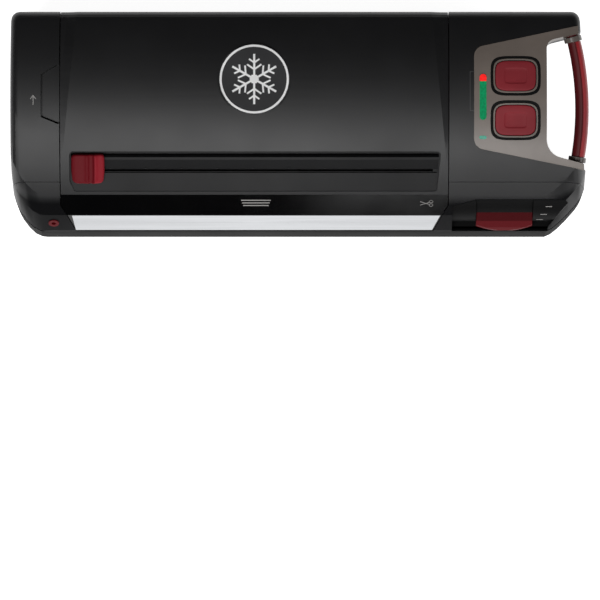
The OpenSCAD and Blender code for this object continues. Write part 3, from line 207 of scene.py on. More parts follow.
class Look:
    """One procedural material on object coordinates."""

    def __init__(self, name, colour, rough, metal=0.0, specular=0.5):
        self.mat = bpy.data.materials.new(name)
        self.mat.use_nodes = True
        self.tree = self.mat.node_tree
        self.bsdf = self.tree.nodes["Principled BSDF"]
        self.colour = tuple(colour)[:3]
        self.set("Base Color", (*self.colour, 1))
        self.set("Roughness", rough)
        self.set("Metallic", metal)
        self.set("Specular IOR Level", specular)
        self.coord = self.tree.nodes.new("ShaderNodeTexCoord").outputs["Object"]
        self.height = None

    def set(self, socket, value):
        self.bsdf.inputs[socket].default_value = value

    def node(self, kind, **values):
        n = self.tree.nodes.new(kind)
        for key, value in values.items():
            if hasattr(n, key):
                setattr(n, key, value)
            else:
                n.inputs[key].default_value = value
        return n

    def link(self, a, b):
        self.tree.links.new(a, b)

    def space(self, scale=(1, 1, 1), turn=(0, 0, 0)):
        m = self.tree.nodes.new("ShaderNodeMapping")
        m.inputs["Scale"].default_value = scale
        m.inputs["Rotation"].default_value = turn
        self.link(self.coord, m.inputs["Vector"])
        return m.outputs["Vector"]

    def noise(self, scale, detail=3.0, stretch=(1, 1, 1), turn=(0, 0, 0)):
        n = self.tree.nodes.new("ShaderNodeTexNoise")
        n.inputs["Scale"].default_value = scale
        n.inputs["Detail"].default_value = detail
        self.link(self.space(stretch, turn), n.inputs["Vector"])
        return n.outputs["Fac"]

    def cells(self, scale, stretch=(1, 1, 1), feature="F1"):
        n = self.tree.nodes.new("ShaderNodeTexVoronoi")
        n.feature = feature
        n.inputs["Scale"].default_value = scale
        self.link(self.space(stretch), n.inputs["Vector"])
        return n.outputs["Distance"]

    def waves(self, scale, axis="X", turn=(0, 0, 0)):
        n = self.tree.nodes.new("ShaderNodeTexWave")
        n.bands_direction = axis
        n.inputs["Scale"].default_value = scale
        self.link(self.space((1, 1, 1), turn), n.inputs["Vector"])
        return n.outputs["Fac"]

    def ranged(self, fac, low, high, lo=0.3, hi=0.7):
        n = self.tree.nodes.new("ShaderNodeMapRange")
        n.inputs["From Min"].default_value = lo
        n.inputs["From Max"].default_value = hi
        n.inputs["To Min"].default_value = low
        n.inputs["To Max"].default_value = high
        self.link(fac, n.inputs["Value"])
        return n.outputs["Result"]

    def mottle(self, fac, dark=0.85, light=1.15):
        """Base colour that wanders a little with fac."""
        ramp = self.tree.nodes.new("ShaderNodeValToRGB")
        ramp.color_ramp.elements[0].position = 0.3
        ramp.color_ramp.elements[1].position = 0.7
        for element, k in zip(ramp.color_ramp.elements, (dark, light)):
            element.color = (*[min(1, c * k) for c in self.colour], 1)
        self.link(fac, ramp.inputs["Fac"])
        self.link(ramp.outputs["Color"], self.bsdf.inputs["Base Color"])
        return self

    def painted_light_band(self, fac, other, lo, hi):
        """Blends the base colour to another where fac passes from lo to hi; used for painted
        light, with a lighter copy of the same colour.
        """
        ramp = self.tree.nodes.new("ShaderNodeMix")
        ramp.data_type = "RGBA"
        self.link(self.ranged(fac, 0, 1, lo, hi), ramp.inputs["Factor"])
        ramp.inputs[6].default_value = (*self.colour, 1)
        ramp.inputs[7].default_value = (*tuple(other)[:3], 1)
        self.link(ramp.outputs[2], self.bsdf.inputs["Base Color"])
        return self

    def split(self, fac, lo, hi, **other):
        """Other values for some sockets where fac passes from lo to hi."""
        share = self.ranged(fac, 0, 1, lo, hi)
        for key, value in other.items():
            socket = self.bsdf.inputs[key.replace("_", " ")]
            mix = self.tree.nodes.new("ShaderNodeMix")
            self.link(share, mix.inputs["Factor"])
            if socket.is_linked:
                self.link(socket.links[0].from_socket, mix.inputs[2])
            else:
                mix.inputs[2].default_value = socket.default_value
            mix.inputs[3].default_value = value
            self.link(mix.outputs[0], socket)
        return self

    def worn(self, fac, low, high):
        self.link(self.ranged(fac, low, high), self.bsdf.inputs["Roughness"])
        return self

    def bump(self, fac, depth, strength=1.0):
        b = self.tree.nodes.new("ShaderNodeBump")
        b.inputs["Strength"].default_value = strength
        b.inputs["Distance"].default_value = depth
        self.link(fac, b.inputs["Height"])
        if self.height:
            self.link(self.height, b.inputs["Normal"])
        self.height = b.outputs["Normal"]
        self.link(self.height, self.bsdf.inputs["Normal"])
        return self

    def axis(self, name):
        s = self.tree.nodes.new("ShaderNodeSeparateXYZ")
        self.link(self.coord, s.inputs["Vector"])
        return s.outputs[name]


LOOKS = {}


def grained(name, colour, rough, depth, size=1400, **kw):
    """Moulded plastic with an even spark-eroded grain."""
    look = Look(name, colour, rough, **kw)
    look.mottle(look.noise(22, 4), 0.86, 1.14)
    look.worn(look.noise(9, 3), rough - 0.035, rough + 0.035)
    look.bump(look.noise(size, 2), depth, 0.5)
    look.bump(look.cells(size * 0.45), depth * 0.6, 0.3)
    return look


def polished(name, colour, rough, **kw):
    """Polished plastic with faint handling haze."""
    look = Look(name, colour, rough, **kw)
    look.mottle(look.noise(30, 4), 0.9, 1.1)
    look.worn(look.noise(26, 5), rough, rough + 0.045)
    look.bump(look.noise(140, 1), 0.02 * MM, 0.12)
    return look


def ground_metal(name, colour, rough, stretch, size=900, **kw):
    """Brushed or ground metal, its lines along the short side of stretch."""
    look = Look(name, colour, rough, metal=1.0, **kw)
    lines = look.noise(size, 3, stretch)
    look.mottle(lines, 0.9, 1.08)
    look.worn(lines, rough - 0.05, rough + 0.07)
    look.bump(lines, 0.015 * MM, 0.35)
    return look


def make_looks(c):
    """Every finish of the machine, from its colours."""
    looks = {}
    looks["shell_matte"] = grained("shell_matte", c.shell, 0.46, 0.03 * MM, 1500, specular=0.42)
    cap = grained("cap_black", c.shell, 0.46, 0.015 * MM, 1500, specular=0.42)
    cap.split(cap.axis("Z"), 0.0825, 0.0765, Roughness=0.3, Specular_IOR_Level=0.03)
    looks["cap_black"] = cap
    looks["recess_black"] = grained("recess_black", c.shell, 0.5, 0.03 * MM, 1500, specular=0.2)
    looks["pit_black"] = grained("pit_black", c.gloss, 0.6, 0.02 * MM, 1500, specular=0.12)
    looks["base_black"] = grained("base_black", c.gloss, 0.6, 0.03 * MM, 1500, specular=0.03)
    looks["gloss_black"] = polished("gloss_black", c.gloss, 0.09, specular=0.34)
    taupe = grained("panel_taupe", c.taupe, 0.38, 0.02 * MM, 2200)
    taupe.set("Coat Weight", 0.15)
    taupe.set("Coat Roughness", 0.3)
    looks["panel_taupe"] = taupe
    rubber = grained("foot_rubber", (0.03, 0.03, 0.03), 0.78, 0.05 * MM, 900, specular=0.3)
    rubber.set("Sheen Weight", 0.15)
    looks["foot_rubber"] = rubber
    looks["gasket_black"] = grained(
        "gasket_black", (0.0025, 0.0025, 0.0025), 0.6, 0.02 * MM, 1300, specular=0.12
    )
    looks["deck_plastic"] = grained("deck_plastic", (0.03, 0.03, 0.033), 0.4, 0.03 * MM, 1100)
    looks["tray_plastic"] = polished("tray_plastic", (0.075, 0.075, 0.084), 0.22)
    foam = Look("foam_gasket", (0.03, 0.03, 0.031), 0.92, specular=0.2)
    foam.mottle(foam.cells(1900), 0.5, 1.5).bump(foam.cells(1900), 0.22 * MM, 0.8)
    foam.bump(foam.noise(500, 4), 0.1 * MM, 0.4)
    looks["foam_gasket"] = foam
    looks["bar_resin"] = grained("bar_resin", (0.58, 0.53, 0.44), 0.5, 0.02 * MM, 900)
    looks["heater_steel"] = ground_metal("heater_steel", (0.6, 0.58, 0.53), 0.32, (0.03, 1, 1))
    cloth = Look("ptfe_cloth", (0.27, 0.17, 0.085), 0.34, specular=0.5)
    weave = cloth.node("ShaderNodeMath", operation="MULTIPLY")
    cloth.link(cloth.waves(420, "X"), weave.inputs[0])
    cloth.link(cloth.waves(420, "Y"), weave.inputs[1])
    cloth.mottle(weave.outputs[0], 0.75, 1.2).bump(weave.outputs[0], 0.05 * MM, 0.6)
    looks["ptfe"] = cloth
    looks["port_red"] = polished("port_red", (0.1, 0.002, 0.005), 0.45, specular=0.1)
    # Emission makes each lens look lit: a painted glow, strongest on the red sealing light and
    # also on the green and teal lenses.
    for key, colour, painted_glow in (
        ("lens_red", c.red_light, 0.55),
        ("lens_green", c.green_light, 0.35),
        ("lens_teal", (0.006, 0.23, 0.15), 0.3),
    ):
        lens = Look(key, colour, 0.3, specular=0.3)
        lens.mottle(lens.cells(420), 0.8, 1.25).bump(lens.cells(650), 0.12 * MM, 0.5)
        lens.set("Emission Color", (*tuple(colour)[:3], 1))
        lens.set("Emission Strength", painted_glow)
        lens.set("Coat Weight", 0.25)
        lens.set("Coat Roughness", 0.2)
        looks[key] = lens
    # Maroon inner side and red outer side of the handle: partly their own colours, partly painted
    # shade on the inner side and painted light on the outer side.
    looks["handle_maroon"] = grained(
        "handle_maroon", c.core, 0.5, 0.03 * MM, 1200, specular=0.25
    )
    looks["grip_red"] = grained("grip_red", c.grip, 0.4, 0.04 * MM, 1700, specular=0.35)
    looks["collar_grey"] = polished("collar_grey", (0.115, 0.098, 0.088), 0.24)
    looks["pin_steel"] = ground_metal("pin_steel", (0.6, 0.6, 0.62), 0.22, (1, 0.05, 0.05))
    looks["screw_steel"] = ground_metal("screw_steel", (0.55, 0.55, 0.57), 0.3, (1, 1, 0.1))
    looks["blade_steel"] = ground_metal("blade_steel", (0.62, 0.63, 0.65), 0.16, (1, 0.05, 0.05))
    looks["motor_zinc"] = ground_metal("motor_zinc", (0.5, 0.5, 0.52), 0.36, (1, 0.1, 0.1))
    looks["part_black"] = grained("part_black", (0.02, 0.02, 0.021), 0.48, 0.03 * MM, 1000)
    looks["part_white"] = grained("part_white", (0.7, 0.7, 0.66), 0.45, 0.02 * MM, 900)
    led = polished("led_clear", (0.7, 0.75, 0.7), 0.12)
    led.set("Transmission Weight", 0.35)
    looks["led_clear"] = led
    board = Look("board_green", (0.008, 0.07, 0.028), 0.3, specular=0.5)
    board.mottle(board.cells(260, feature="DISTANCE_TO_EDGE"), 0.6, 1.5)
    board.bump(board.cells(260, feature="DISTANCE_TO_EDGE"), 0.03 * MM, 0.6)
    looks["board_green"] = board
    core = Look("core_iron", (0.1, 0.1, 0.105), 0.5, metal=0.6)
    core.mottle(core.waves(900, "Y"), 0.6, 1.3).bump(core.waves(900, "Y"), 0.06 * MM, 0.7)
    looks["core_iron"] = core
    coil = Look("coil_copper", (0.42, 0.16, 0.05), 0.32, metal=0.9)
    coil.mottle(coil.waves(700, "Z"), 0.5, 1.25).bump(coil.waves(700, "Z"), 0.12 * MM, 0.8)
    looks["coil_copper"] = coil
    hose = polished("hose_clear", (0.55, 0.55, 0.52), 0.3)
    hose.set("Subsurface Weight", 0.2)
    looks["hose_clear"] = hose
    trim = ground_metal("brushed_trim", (0.46, 0.468, 0.48), 0.33, (0.012, 1, 1), 1300)
    trim.set("Anisotropic", 0.55)
    looks["brushed_trim"] = trim
    silicone = grained("silicone_red", (0.26, 0.028, 0.022), 0.5, 0.03 * MM, 800)
    silicone.set("Sheen Weight", 0.2)
    looks["silicone_red"] = silicone
    looks["badge_grey"] = polished("badge_grey", c.badge, 0.45, specular=0.25)
    looks["badge_white"] = polished("badge_white", (0.95, 0.95, 0.95), 0.45)
    knob = grained("knob_red", c.knob, 0.58, 0.03 * MM, 1500, specular=0.16)
    # The knob's right part takes a lighter copy of its own red: painted light on that side of the
    # knob.
    knob_painted_light = tuple(min(1, x * 1.9 + 0.006) for x in c.knob)
    knob.painted_light_band(knob.axis("X"), knob_painted_light, -0.2114, -0.2108)
    looks["knob_red"] = knob
    lever = Look("lever_red", c.lever, 0.55, specular=0.08)
    # The front lip takes a lighter copy of the lever red: a painted highlight on the rolled lip.
    lip = tuple(min(1, x * 1.9 + 0.004) for x in c.lever)
    lever.painted_light_band(lever.axis("Y"), lip, -0.1005, -0.1015)
    lever.worn(lever.noise(14, 3), 0.46, 0.55)
    lever.bump(lever.cells(620), 0.14 * MM, 0.5).bump(lever.noise(1500, 2), 0.03 * MM, 0.4)
    looks["lever_red"] = lever
    looks["button_red"] = grained("button_red", c.button, 0.55, 0.05 * MM, 900, specular=0.2)
    looks["mark_grey"] = grained("mark_grey", (0.3, 0.29, 0.28), 0.5, 0.005 * MM, 900)
    looks["mark_dim"] = grained("mark_dim", (0.055, 0.055, 0.056), 0.5, 0.005 * MM, 900)
    for key, look in looks.items():
        LOOKS[key] = look.mat


NODE_SLOTS = {
    s["node"]: s["material_slot"] for s in frame["record"]["subparts"] if "material_slot" in s
}


def dress(node, look=None):
    """Gives a CAD node its procedural material."""
    obj = frame["nodes"][node]
    mat = LOOKS[look or NODE_SLOTS[node]]
    if not obj.material_slots:
        obj.data.materials.append(mat)
    for s in obj.material_slots:
        s.material = mat


# ---------------------------------------------------------------- mesh helpers


def piece(name, mesh, look, body, replaces=()):
    """Links a finished mesh as one piece that rides on a body."""
    obj = bpy.data.objects.new(name, mesh)
    bpy.context.scene.collection.objects.link(obj)
    mesh.materials.clear()
    mesh.materials.append(LOOKS[look])
    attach(obj, body)
    if replaces:
        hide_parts(*replaces)
    return obj


def mesh_from(name, verts, faces, matrix=None, smooth_angle=40):
    """A mesh with doubles merged, normals turned outwards and edges sharp past an angle."""
    me = bpy.data.meshes.new(name)
    me.from_pydata([tuple(v) for v in verts], [], faces)
    tidy_mesh(me)
    if matrix is not None:
        me.transform(matrix)
    me.set_sharp_from_angle(angle=math.radians(smooth_angle))
    return me


def tidy_mesh(me):
    """Merges doubles, turns the faces outwards and shades them smooth."""
    bm = bmesh.new()
    bm.from_mesh(me)
    bmesh.ops.remove_doubles(bm, verts=bm.verts, dist=1e-6)
    bmesh.ops.recalc_face_normals(bm, faces=bm.faces)
    for f in bm.faces:
        f.smooth = True
    bm.to_mesh(me)
    bm.free()


def rings_mesh(name, rings, matrix=None, smooth_angle=40):
    """Skin over equal closed rings, its first and last ring capped."""
    n = len(rings[0])
    verts = [p for r in rings for p in r]
    faces = [
        (i * n + j, i * n + (j + 1) % n, (i + 1) * n + (j + 1) % n, (i + 1) * n + j)
        for i in range(len(rings) - 1)
        for j in range(n)
    ]
    faces.append(tuple(range(n))[::-1])
    faces.append(tuple((len(rings) - 1) * n + j for j in range(n)))
    return mesh_from(name, verts, faces, matrix, smooth_angle)


def joined(name, parts, smooth_angle=40):
    """Several closed meshes as one, which takes their place."""
    verts, faces = [], []
    for me in parts:
        base = len(verts)
        verts += [v.co.copy() for v in me.vertices]
        faces += [tuple(base + i for i in f.vertices) for f in me.polygons]
        bpy.data.meshes.remove(me)
    return mesh_from(name, verts, faces, None, smooth_angle)


def squircle(a, b, power=4.2, count=96):
    """Points round a superellipse of half widths a and b."""
    pts = []
    for i in range(count):
        t = 2 * math.pi * i / count
        c, s = math.cos(t), math.sin(t)
        pts.append(
            (
                a * math.copysign(abs(c) ** (2 / power), c),
                b * math.copysign(abs(s) ** (2 / power), s),
            )
        )
    return pts


def merged_copy(node, name):
    """A copy of a CAD node's mesh with its doubles merged, ready to be reshaped."""
    me = frame["nodes"][node].data.copy()
    me.name = name
    for a in list(me.attributes):
        if a.name.startswith("custom_normal"):
            me.attributes.remove(a)
    bm = bmesh.new()
    bm.from_mesh(me)
    bmesh.ops.remove_doubles(bm, verts=bm.verts, dist=2e-6)
    bmesh.ops.dissolve_degenerate(bm, edges=bm.edges, dist=1e-6)
    bm.to_mesh(me)
    bm.free()
    return me


def rounded_copy(node, name, look, width, angle=32, segments=2):
    """A CAD node with its sharp edges rounded, standing for the node."""
    me = merged_copy(node, name)
    bm = bmesh.new()
    bm.from_mesh(me)
    bmesh.ops.dissolve_limit(bm, angle_limit=math.radians(0.6), verts=bm.verts, edges=bm.edges)
    for f in bm.faces:
        f.smooth = True
    bm.to_mesh(me)
    bm.free()
    body = frame["nodes"][node]["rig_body"]
    obj = piece(name, me, look, body, (node,))
    bevel = obj.modifiers.new("soft_edges", "BEVEL")
    bevel.width = width
    bevel.segments = segments
    bevel.limit_method = "ANGLE"
    bevel.angle_limit = math.radians(angle)
    bevel.harden_normals = True
    bevel.use_clamp_overlap = True
    bevel.miter_outer = "MITER_ARC"
    bake_modifiers(obj)
    return obj


def crown_shading(me, angle=7):
    """Gives the corners that lie on the crown its exact normal, and leaves the others."""
    limit = math.cos(math.radians(angle))
    normals = [n.vector.copy() for n in me.corner_normals]
    for f in me.polygons:
        for k in f.loop_indices:
            p = me.vertices[me.loops[k].vertex_index].co
            out = Vector((0, p.y - CROWN_Y, p.z - CROWN_Z))
            if abs(out.length - CROWN_R) < 0.02 * MM and f.normal.dot(out.normalized()) > limit:
                normals[k] = out.normalized()
    me.normals_split_custom_set(normals)


def smooth_copy(node, name, look, angle=25):
    """A CAD node with its curved facets shaded as one surface, standing for the node."""
    me = merged_copy(node, name)
    bm = bmesh.new()
    bm.from_mesh(me)
    bmesh.ops.dissolve_limit(bm, angle_limit=math.radians(0.2), verts=bm.verts, edges=bm.edges)
    for f in bm.faces:
        f.smooth = True
    bm.to_mesh(me)
    bm.free()
    me.set_sharp_from_angle(angle=math.radians(angle))
    body = frame["nodes"][node]["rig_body"]
    obj = piece(name, me, look, body, (node,))
    even = obj.modifiers.new("even_shading", "WEIGHTED_NORMAL")
    even.keep_sharp = True
    even.weight = 60
    bake_modifiers(obj)
    crown_shading(obj.data)
    return obj


def bake_modifiers(obj):
    """Turns the evaluated object into its own plain mesh."""
    dg = bpy.context.evaluated_depsgraph_get()
    dg.update()
    made = bpy.data.meshes.new_from_object(obj.evaluated_get(dg), depsgraph=dg)
    obj.modifiers.clear()
    obj.data = made
    return obj


# ---------------------------------------------------------------- geometry nodes


class Pattern:
    """A geometry node tree with named size inputs, realized to a plain mesh."""

    def __init__(self, name, sizes):
        self.tree = bpy.data.node_groups.new(name, "GeometryNodeTree")
        face = self.tree.interface
        face.new_socket(name="Geometry", in_out="OUTPUT", socket_type="NodeSocketGeometry")
        self.values = {}
        for key, value in sizes.items():
            kind = "NodeSocketInt" if isinstance(value, int) else "NodeSocketFloat"
            socket = face.new_socket(name=key, in_out="INPUT", socket_type=kind)
            self.values[socket.identifier] = value
        self.inputs = self.node("NodeGroupInput").outputs
        self.output = self.node("NodeGroupOutput")

    def node(self, kind, **values):
        n = self.tree.nodes.new(kind)
        for key, value in values.items():
            if hasattr(n, key):
                setattr(n, key, value)
            else:
                n.inputs[key].default_value = value
        return n

    def link(self, a, b):
        self.tree.links.new(a, b)

    def maths(self, operation, a, b):
        n = self.node("ShaderNodeMath", operation=operation)
        for k, v in enumerate((a, b)):
            if isinstance(v, (int, float)):
                n.inputs[k].default_value = v
            else:
                self.link(v, n.inputs[k])
        return n.outputs[0]

    def vector(self, x=0, y=0, z=0):
        n = self.node("ShaderNodeCombineXYZ")
        for k, v in enumerate((x, y, z)):
            if isinstance(v, (int, float)):
                n.inputs[k].default_value = v
            else:
                self.link(v, n.inputs[k])
        return n.outputs[0]

    def finish(self, geometry, look):
        realize = self.node("GeometryNodeRealizeInstances")
        dress_all = self.node("GeometryNodeSetMaterial")
        dress_all.inputs["Material"].default_value = LOOKS[look]
        self.link(geometry, realize.inputs["Geometry"])
        self.link(realize.outputs["Geometry"], dress_all.inputs["Geometry"])
        self.link(dress_all.outputs["Geometry"], self.output.inputs["Geometry"])

    def mesh(self, name, matrix):
        """The evaluated pattern as a plain mesh, placed by a matrix."""
        holder = bpy.data.objects.new(name + "_source", bpy.data.meshes.new(name))
        bpy.context.scene.collection.objects.link(holder)
        mod = holder.modifiers.new("pattern", "NODES")
        mod.node_group = self.tree
        for identifier, value in self.values.items():
            mod[identifier] = value
        dg = bpy.context.evaluated_depsgraph_get()
        dg.update()
        made = bpy.data.meshes.new_from_object(holder.evaluated_get(dg), depsgraph=dg)
        bpy.data.objects.remove(holder)
        if not made.polygons:
            raise RuntimeError(f"the pattern {name} came out empty")
        made.transform(matrix)
        tidy_mesh(made)
        made.name = name
        return made


def fanned(name, sizes, build, look):
    """Copies of one profile turned about Z: Count of them, from Start by Step in degrees."""
    p = Pattern(name, sizes)
    line = p.node("GeometryNodeMeshLine", mode="OFFSET")
    p.link(p.inputs["Count"], line.inputs["Count"])
    line.inputs["Offset"].default_value = (0, 0, 0)
    index = p.node("GeometryNodeInputIndex").outputs[0]
    degrees = p.maths("ADD", p.inputs["Start"], p.maths("MULTIPLY", index, p.inputs["Step"]))
    turn = p.vector(z=p.maths("RADIANS", degrees, 0))
    place = p.node("GeometryNodeInstanceOnPoints")
    p.link(line.outputs["Mesh"], place.inputs["Points"])
    p.link(build(p), place.inputs["Instance"])
    p.link(turn, place.inputs["Rotation"])
    p.finish(place.outputs["Instances"], look)
    return p


def in_line(name, sizes, build, look, axis="x"):
    """Copies of one shape in a straight row: Count of them, Step apart along an axis."""
    p = Pattern(name, sizes)
    line = p.node("GeometryNodeMeshLine", mode="OFFSET")
    p.link(p.inputs["Count"], line.inputs["Count"])
    p.link(p.vector(**{axis: p.inputs["Step"]}), line.inputs["Offset"])
    place = p.node("GeometryNodeInstanceOnPoints")
    p.link(line.outputs["Mesh"], place.inputs["Points"])
    p.link(build(p), place.inputs["Instance"])
    p.finish(place.outputs["Instances"], look)
    return p


def bent_rod(p, radius, sweep, start, thick):
    """A thin rod along an arc in the XY plane, as a geometry socket."""
    arc = p.node("GeometryNodeCurveArc", mode="RADIUS")
    arc.inputs["Resolution"].default_value = 18
    p.link(radius, arc.inputs["Radius"])
    arc.inputs["Start Angle"].default_value = start
    arc.inputs["Sweep Angle"].default_value = sweep
    ring = p.node("GeometryNodeCurvePrimitiveCircle", mode="RADIUS")
    ring.inputs["Resolution"].default_value = 6
    p.link(thick, ring.inputs["Radius"])
    skin = p.node("GeometryNodeCurveToMesh")
    skin.inputs["Fill Caps"].default_value = True
    p.link(arc.outputs["Curve"], skin.inputs["Curve"])
    p.link(ring.outputs["Curve"], skin.inputs["Profile Curve"])
    return skin.outputs["Mesh"]


# ---------------------------------------------------------------- operators


class SealerOperator(bpy.types.Operator):
    bl_options = {"REGISTER", "UNDO"}

    def execute(self, context):
        self.make(context.scene.sealer_sizes)
        return {"FINISHED"}


class SEALER_OT_finishes(SealerOperator):
    """Builds every finish and gives each CAD node its own"""

    bl_idname = "sealer.finishes"
    bl_label = "Finishes"

    def make(self, s):
        make_looks(bpy.context.scene.sealer_colours)
        for node in frame["nodes"]:
            dress(node)
        dress("closed_lens", "lens_teal")
        for node in ("latch_plate", "latch_drum"):
            dress(node, "pit_black")
        dress("cutter_tray", "recess_black")


class SEALER_OT_lid(SealerOperator):
    """Lid cover with slanted facets along both sides"""

    bl_idname = "sealer.lid"
    bl_label = "Lid cover"

    def make(self, s):
        me = merged_copy("lid_cover", "lid_shell")
        bm = bmesh.new()
        bm.from_mesh(me)
        front_y, rear_inset, front_inset = -60 * MM, 17.5 * MM, 0.5 * MM
        cuts, lowest, fade_run, fall = (0.0, 4.2 * MM, 9.6 * MM), 66 * MM, 50 * MM, 0.2
        for side, edge in ((1, LID_LO.x), (-1, LID_HI.x)):
            a = Vector((edge + side * rear_inset, Y_REAR, 0))
            b = Vector((edge + side * front_inset, front_y, 0))
            along = (b - a).normalized()
            out = Vector((along.y, -along.x, 0))
            if out.x * side > 0:
                out = -out
            for away in cuts:
                bmesh.ops.bisect_plane(
                    bm,
                    geom=bm.verts[:] + bm.edges[:] + bm.faces[:],
                    plane_co=a + out * away,
                    plane_no=out,
                    dist=1e-6,
                )
            for v in bm.verts:
                d = (v.co - a).dot(out)
                if d > 0 and v.co.y > front_y and v.co.z > lowest:
                    fade = min(1.0, (v.co.y - front_y) / fade_run)
                    v.co.z -= min(s.facet_drop, d * fall) * fade
        for f in bm.faces:
            f.smooth = True
        bm.to_mesh(me)
        bm.free()
        me.set_sharp_from_angle(angle=math.radians(4.2))
        crown_shading(me)
        piece("lid_shell", me, "shell_matte", "lid", ("lid_cover",))


class SEALER_OT_shells(SealerOperator):
    """Pod covers, front caps and base housing with evenly shaded curves"""

    bl_idname = "sealer.shells"
    bl_label = "Outer shells"

    def make(self, s):
        smooth_copy("left_pod_cover", "left_pod_shell", "shell_matte")
        smooth_copy("right_pod_cover", "right_pod_shell", "shell_matte")
        smooth_copy("left_front_cap", "left_cap_shell", "cap_black")
        smooth_copy("right_front_cap", "right_cap_shell", "cap_black")
        smooth_copy("base_housing", "base_shell", "base_black")


class SEALER_OT_panel(SealerOperator):
    """Control panel, button rings and gaskets with soft edges"""

    bl_idname = "sealer.panel"
    bl_label = "Control panel"

    def make(self, s):
        rounded_copy("control_panel", "panel_skin", "panel_taupe", s.soft_edge, 40, 3)
        rounded_copy("button_rings", "button_bezels", "panel_taupe", 0.4 * MM, 40, 2)
        rounded_copy("button_gaskets", "button_seals", "gasket_black", 0.3 * MM, 40, 2)


class SEALER_OT_buttons(SealerOperator):
    """Two silicone push buttons with a recessed pad"""

    bl_idname = "sealer.buttons"
    bl_label = "Push buttons"

    def make(self, s):
        a, b = BUTTON_HALF
        pad = squircle(11.5 * MM, 7.8 * MM, power=7)
        top, brim, swell = 1.15 * MM, -1.6 * MM, 0.175 * MM
        # growth of the outline and height, from the skirt to the brim
        side = ((-2.0, -8), (0, -7.6), (0, 0.0), (-0.06, 0.5), (-0.3, 0.9), (-0.8, 1.1))
        # share of the pad's outline and depth, from its edge to its middle
        well = ((0.995, 0.02), (0.955, 0.45), (0.9, 0.55), (0.5, 0.5), (0.04, 0.48))
        for k, body in enumerate(("seal_button", "vacuum_button")):
            rings = [
                [(x, y, z * MM) for x, y in squircle(a + grow * MM, b + grow * MM)]
                for grow, z in side
            ]
            outer = squircle(a + brim, b + brim)
            rings.append([(x, y, top) for x, y in outer])
            for mix in (0.8, 0.5, 0.2, 0.06):
                rings.append(
                    [
                        (
                            p[0] * mix + q[0] * (1 - mix),
                            p[1] * mix + q[1] * (1 - mix),
                            top + swell * (1 - (p[0] / a) ** 2),
                        )
                        for p, q in zip(outer, pad)
                    ]
                )
            for share, depth in well:
                rings.append([(x * share, y * share, top - depth * MM) for x, y in pad])
            turn = k * BUTTON_PITCH / CROWN_R
            place = crown_frame(BUTTON_X, SEAL_BUTTON_Y, 0, turn)
            me = rings_mesh(body + "_key", rings, place, 50)
            piece(body + "_key", me, "button_red", body, (body,))


class SEALER_OT_handle(SealerOperator):
    """Carry handle: ribbed soft grip over the maroon core, their red and maroon partly painted
    light and painted shade
    """

    bl_idname = "sealer.handle"
    bl_label = "Handle grip"

    def make(self, s):
        a, b = HANDLE_HALF
        place = crown_frame(X_RIGHT - 0.4 * MM - a - HANDLE_R, HANDLE_Y, -HANDLE_DROP)
        start, end = HANDLE_ENDS[0] + COLLAR_END, HANDLE_ENDS[1] - COLLAR_END
        steps, count, wrap = 48, 24, 78
        proud, sunk = 0.25 * MM, 0.7 * MM
        turns = [math.radians(wrap * (2 * k / count - 1)) for k in range(count + 1)]
        rings = []
        for i in range(steps + 1):
            t = i / steps
            ang = math.radians(start + (end - start) * t)
            grow = proud * min(1.0, 0.35 + 9 * min(t, 1 - t))
            ring = [((a + grow) * math.cos(u), (b + grow) * math.sin(u)) for u in turns]
            ring += [((a - sunk) * math.cos(u), (b - sunk) * math.sin(u)) for u in turns[::-1]]
            rings.append(
                [
                    ((HANDLE_R + x) * math.cos(ang), (HANDLE_R + x) * math.sin(ang), z)
                    for x, z in ring
                ]
            )
        skin = rings_mesh("grip_skin", rings, place, 45)
        piece("grip_skin", skin, "grip_red", "base", ("handle_grip",))

        def rib(p):
            half = math.radians(52)
            rod = bent_rod(p, p.inputs["Half width"], 2 * half, -half, p.inputs["Rib radius"])
            shape = p.node("GeometryNodeTransform")
            shape.inputs["Scale"].default_value = (1, b / a, 1)
            p.link(rod, shape.inputs["Geometry"])
            stand = p.node("GeometryNodeTransform")
            stand.inputs["Rotation"].default_value = (math.pi / 2, 0, 0)
            p.link(p.vector(x=p.inputs["Bend radius"]), stand.inputs["Translation"])
            p.link(shape.outputs["Geometry"], stand.inputs["Geometry"])
            return stand.outputs["Geometry"]

        bare = 0.8
        step = (end - start - 2 * bare) / (s.rib_count - 1)
        ribs = fanned(
            "grip_ribs",
            {
                "Count": s.rib_count,
                "Start": start + bare,
                "Step": step,
                "Rib radius": s.rib_radius,
                "Half width": a + 0.05 * MM,
                "Bend radius": HANDLE_R,
            },
            rib,
            "grip_red",
        )
        piece("grip_ribs", ribs.mesh("grip_ribs", place), "grip_red", "base")
        rounded_copy("handle_collars", "grip_collars", "collar_grey", 0.35 * MM, 40, 2)


class SEALER_OT_lever(SealerOperator):
    """Latch lever with a rolled lip"""

    bl_idname = "sealer.lever"
    bl_label = "Latch lever"

    def make(self, s):
        rounded_copy("latch_lever", "lever_grip", "lever_red", 1.1 * MM, 28, 4)


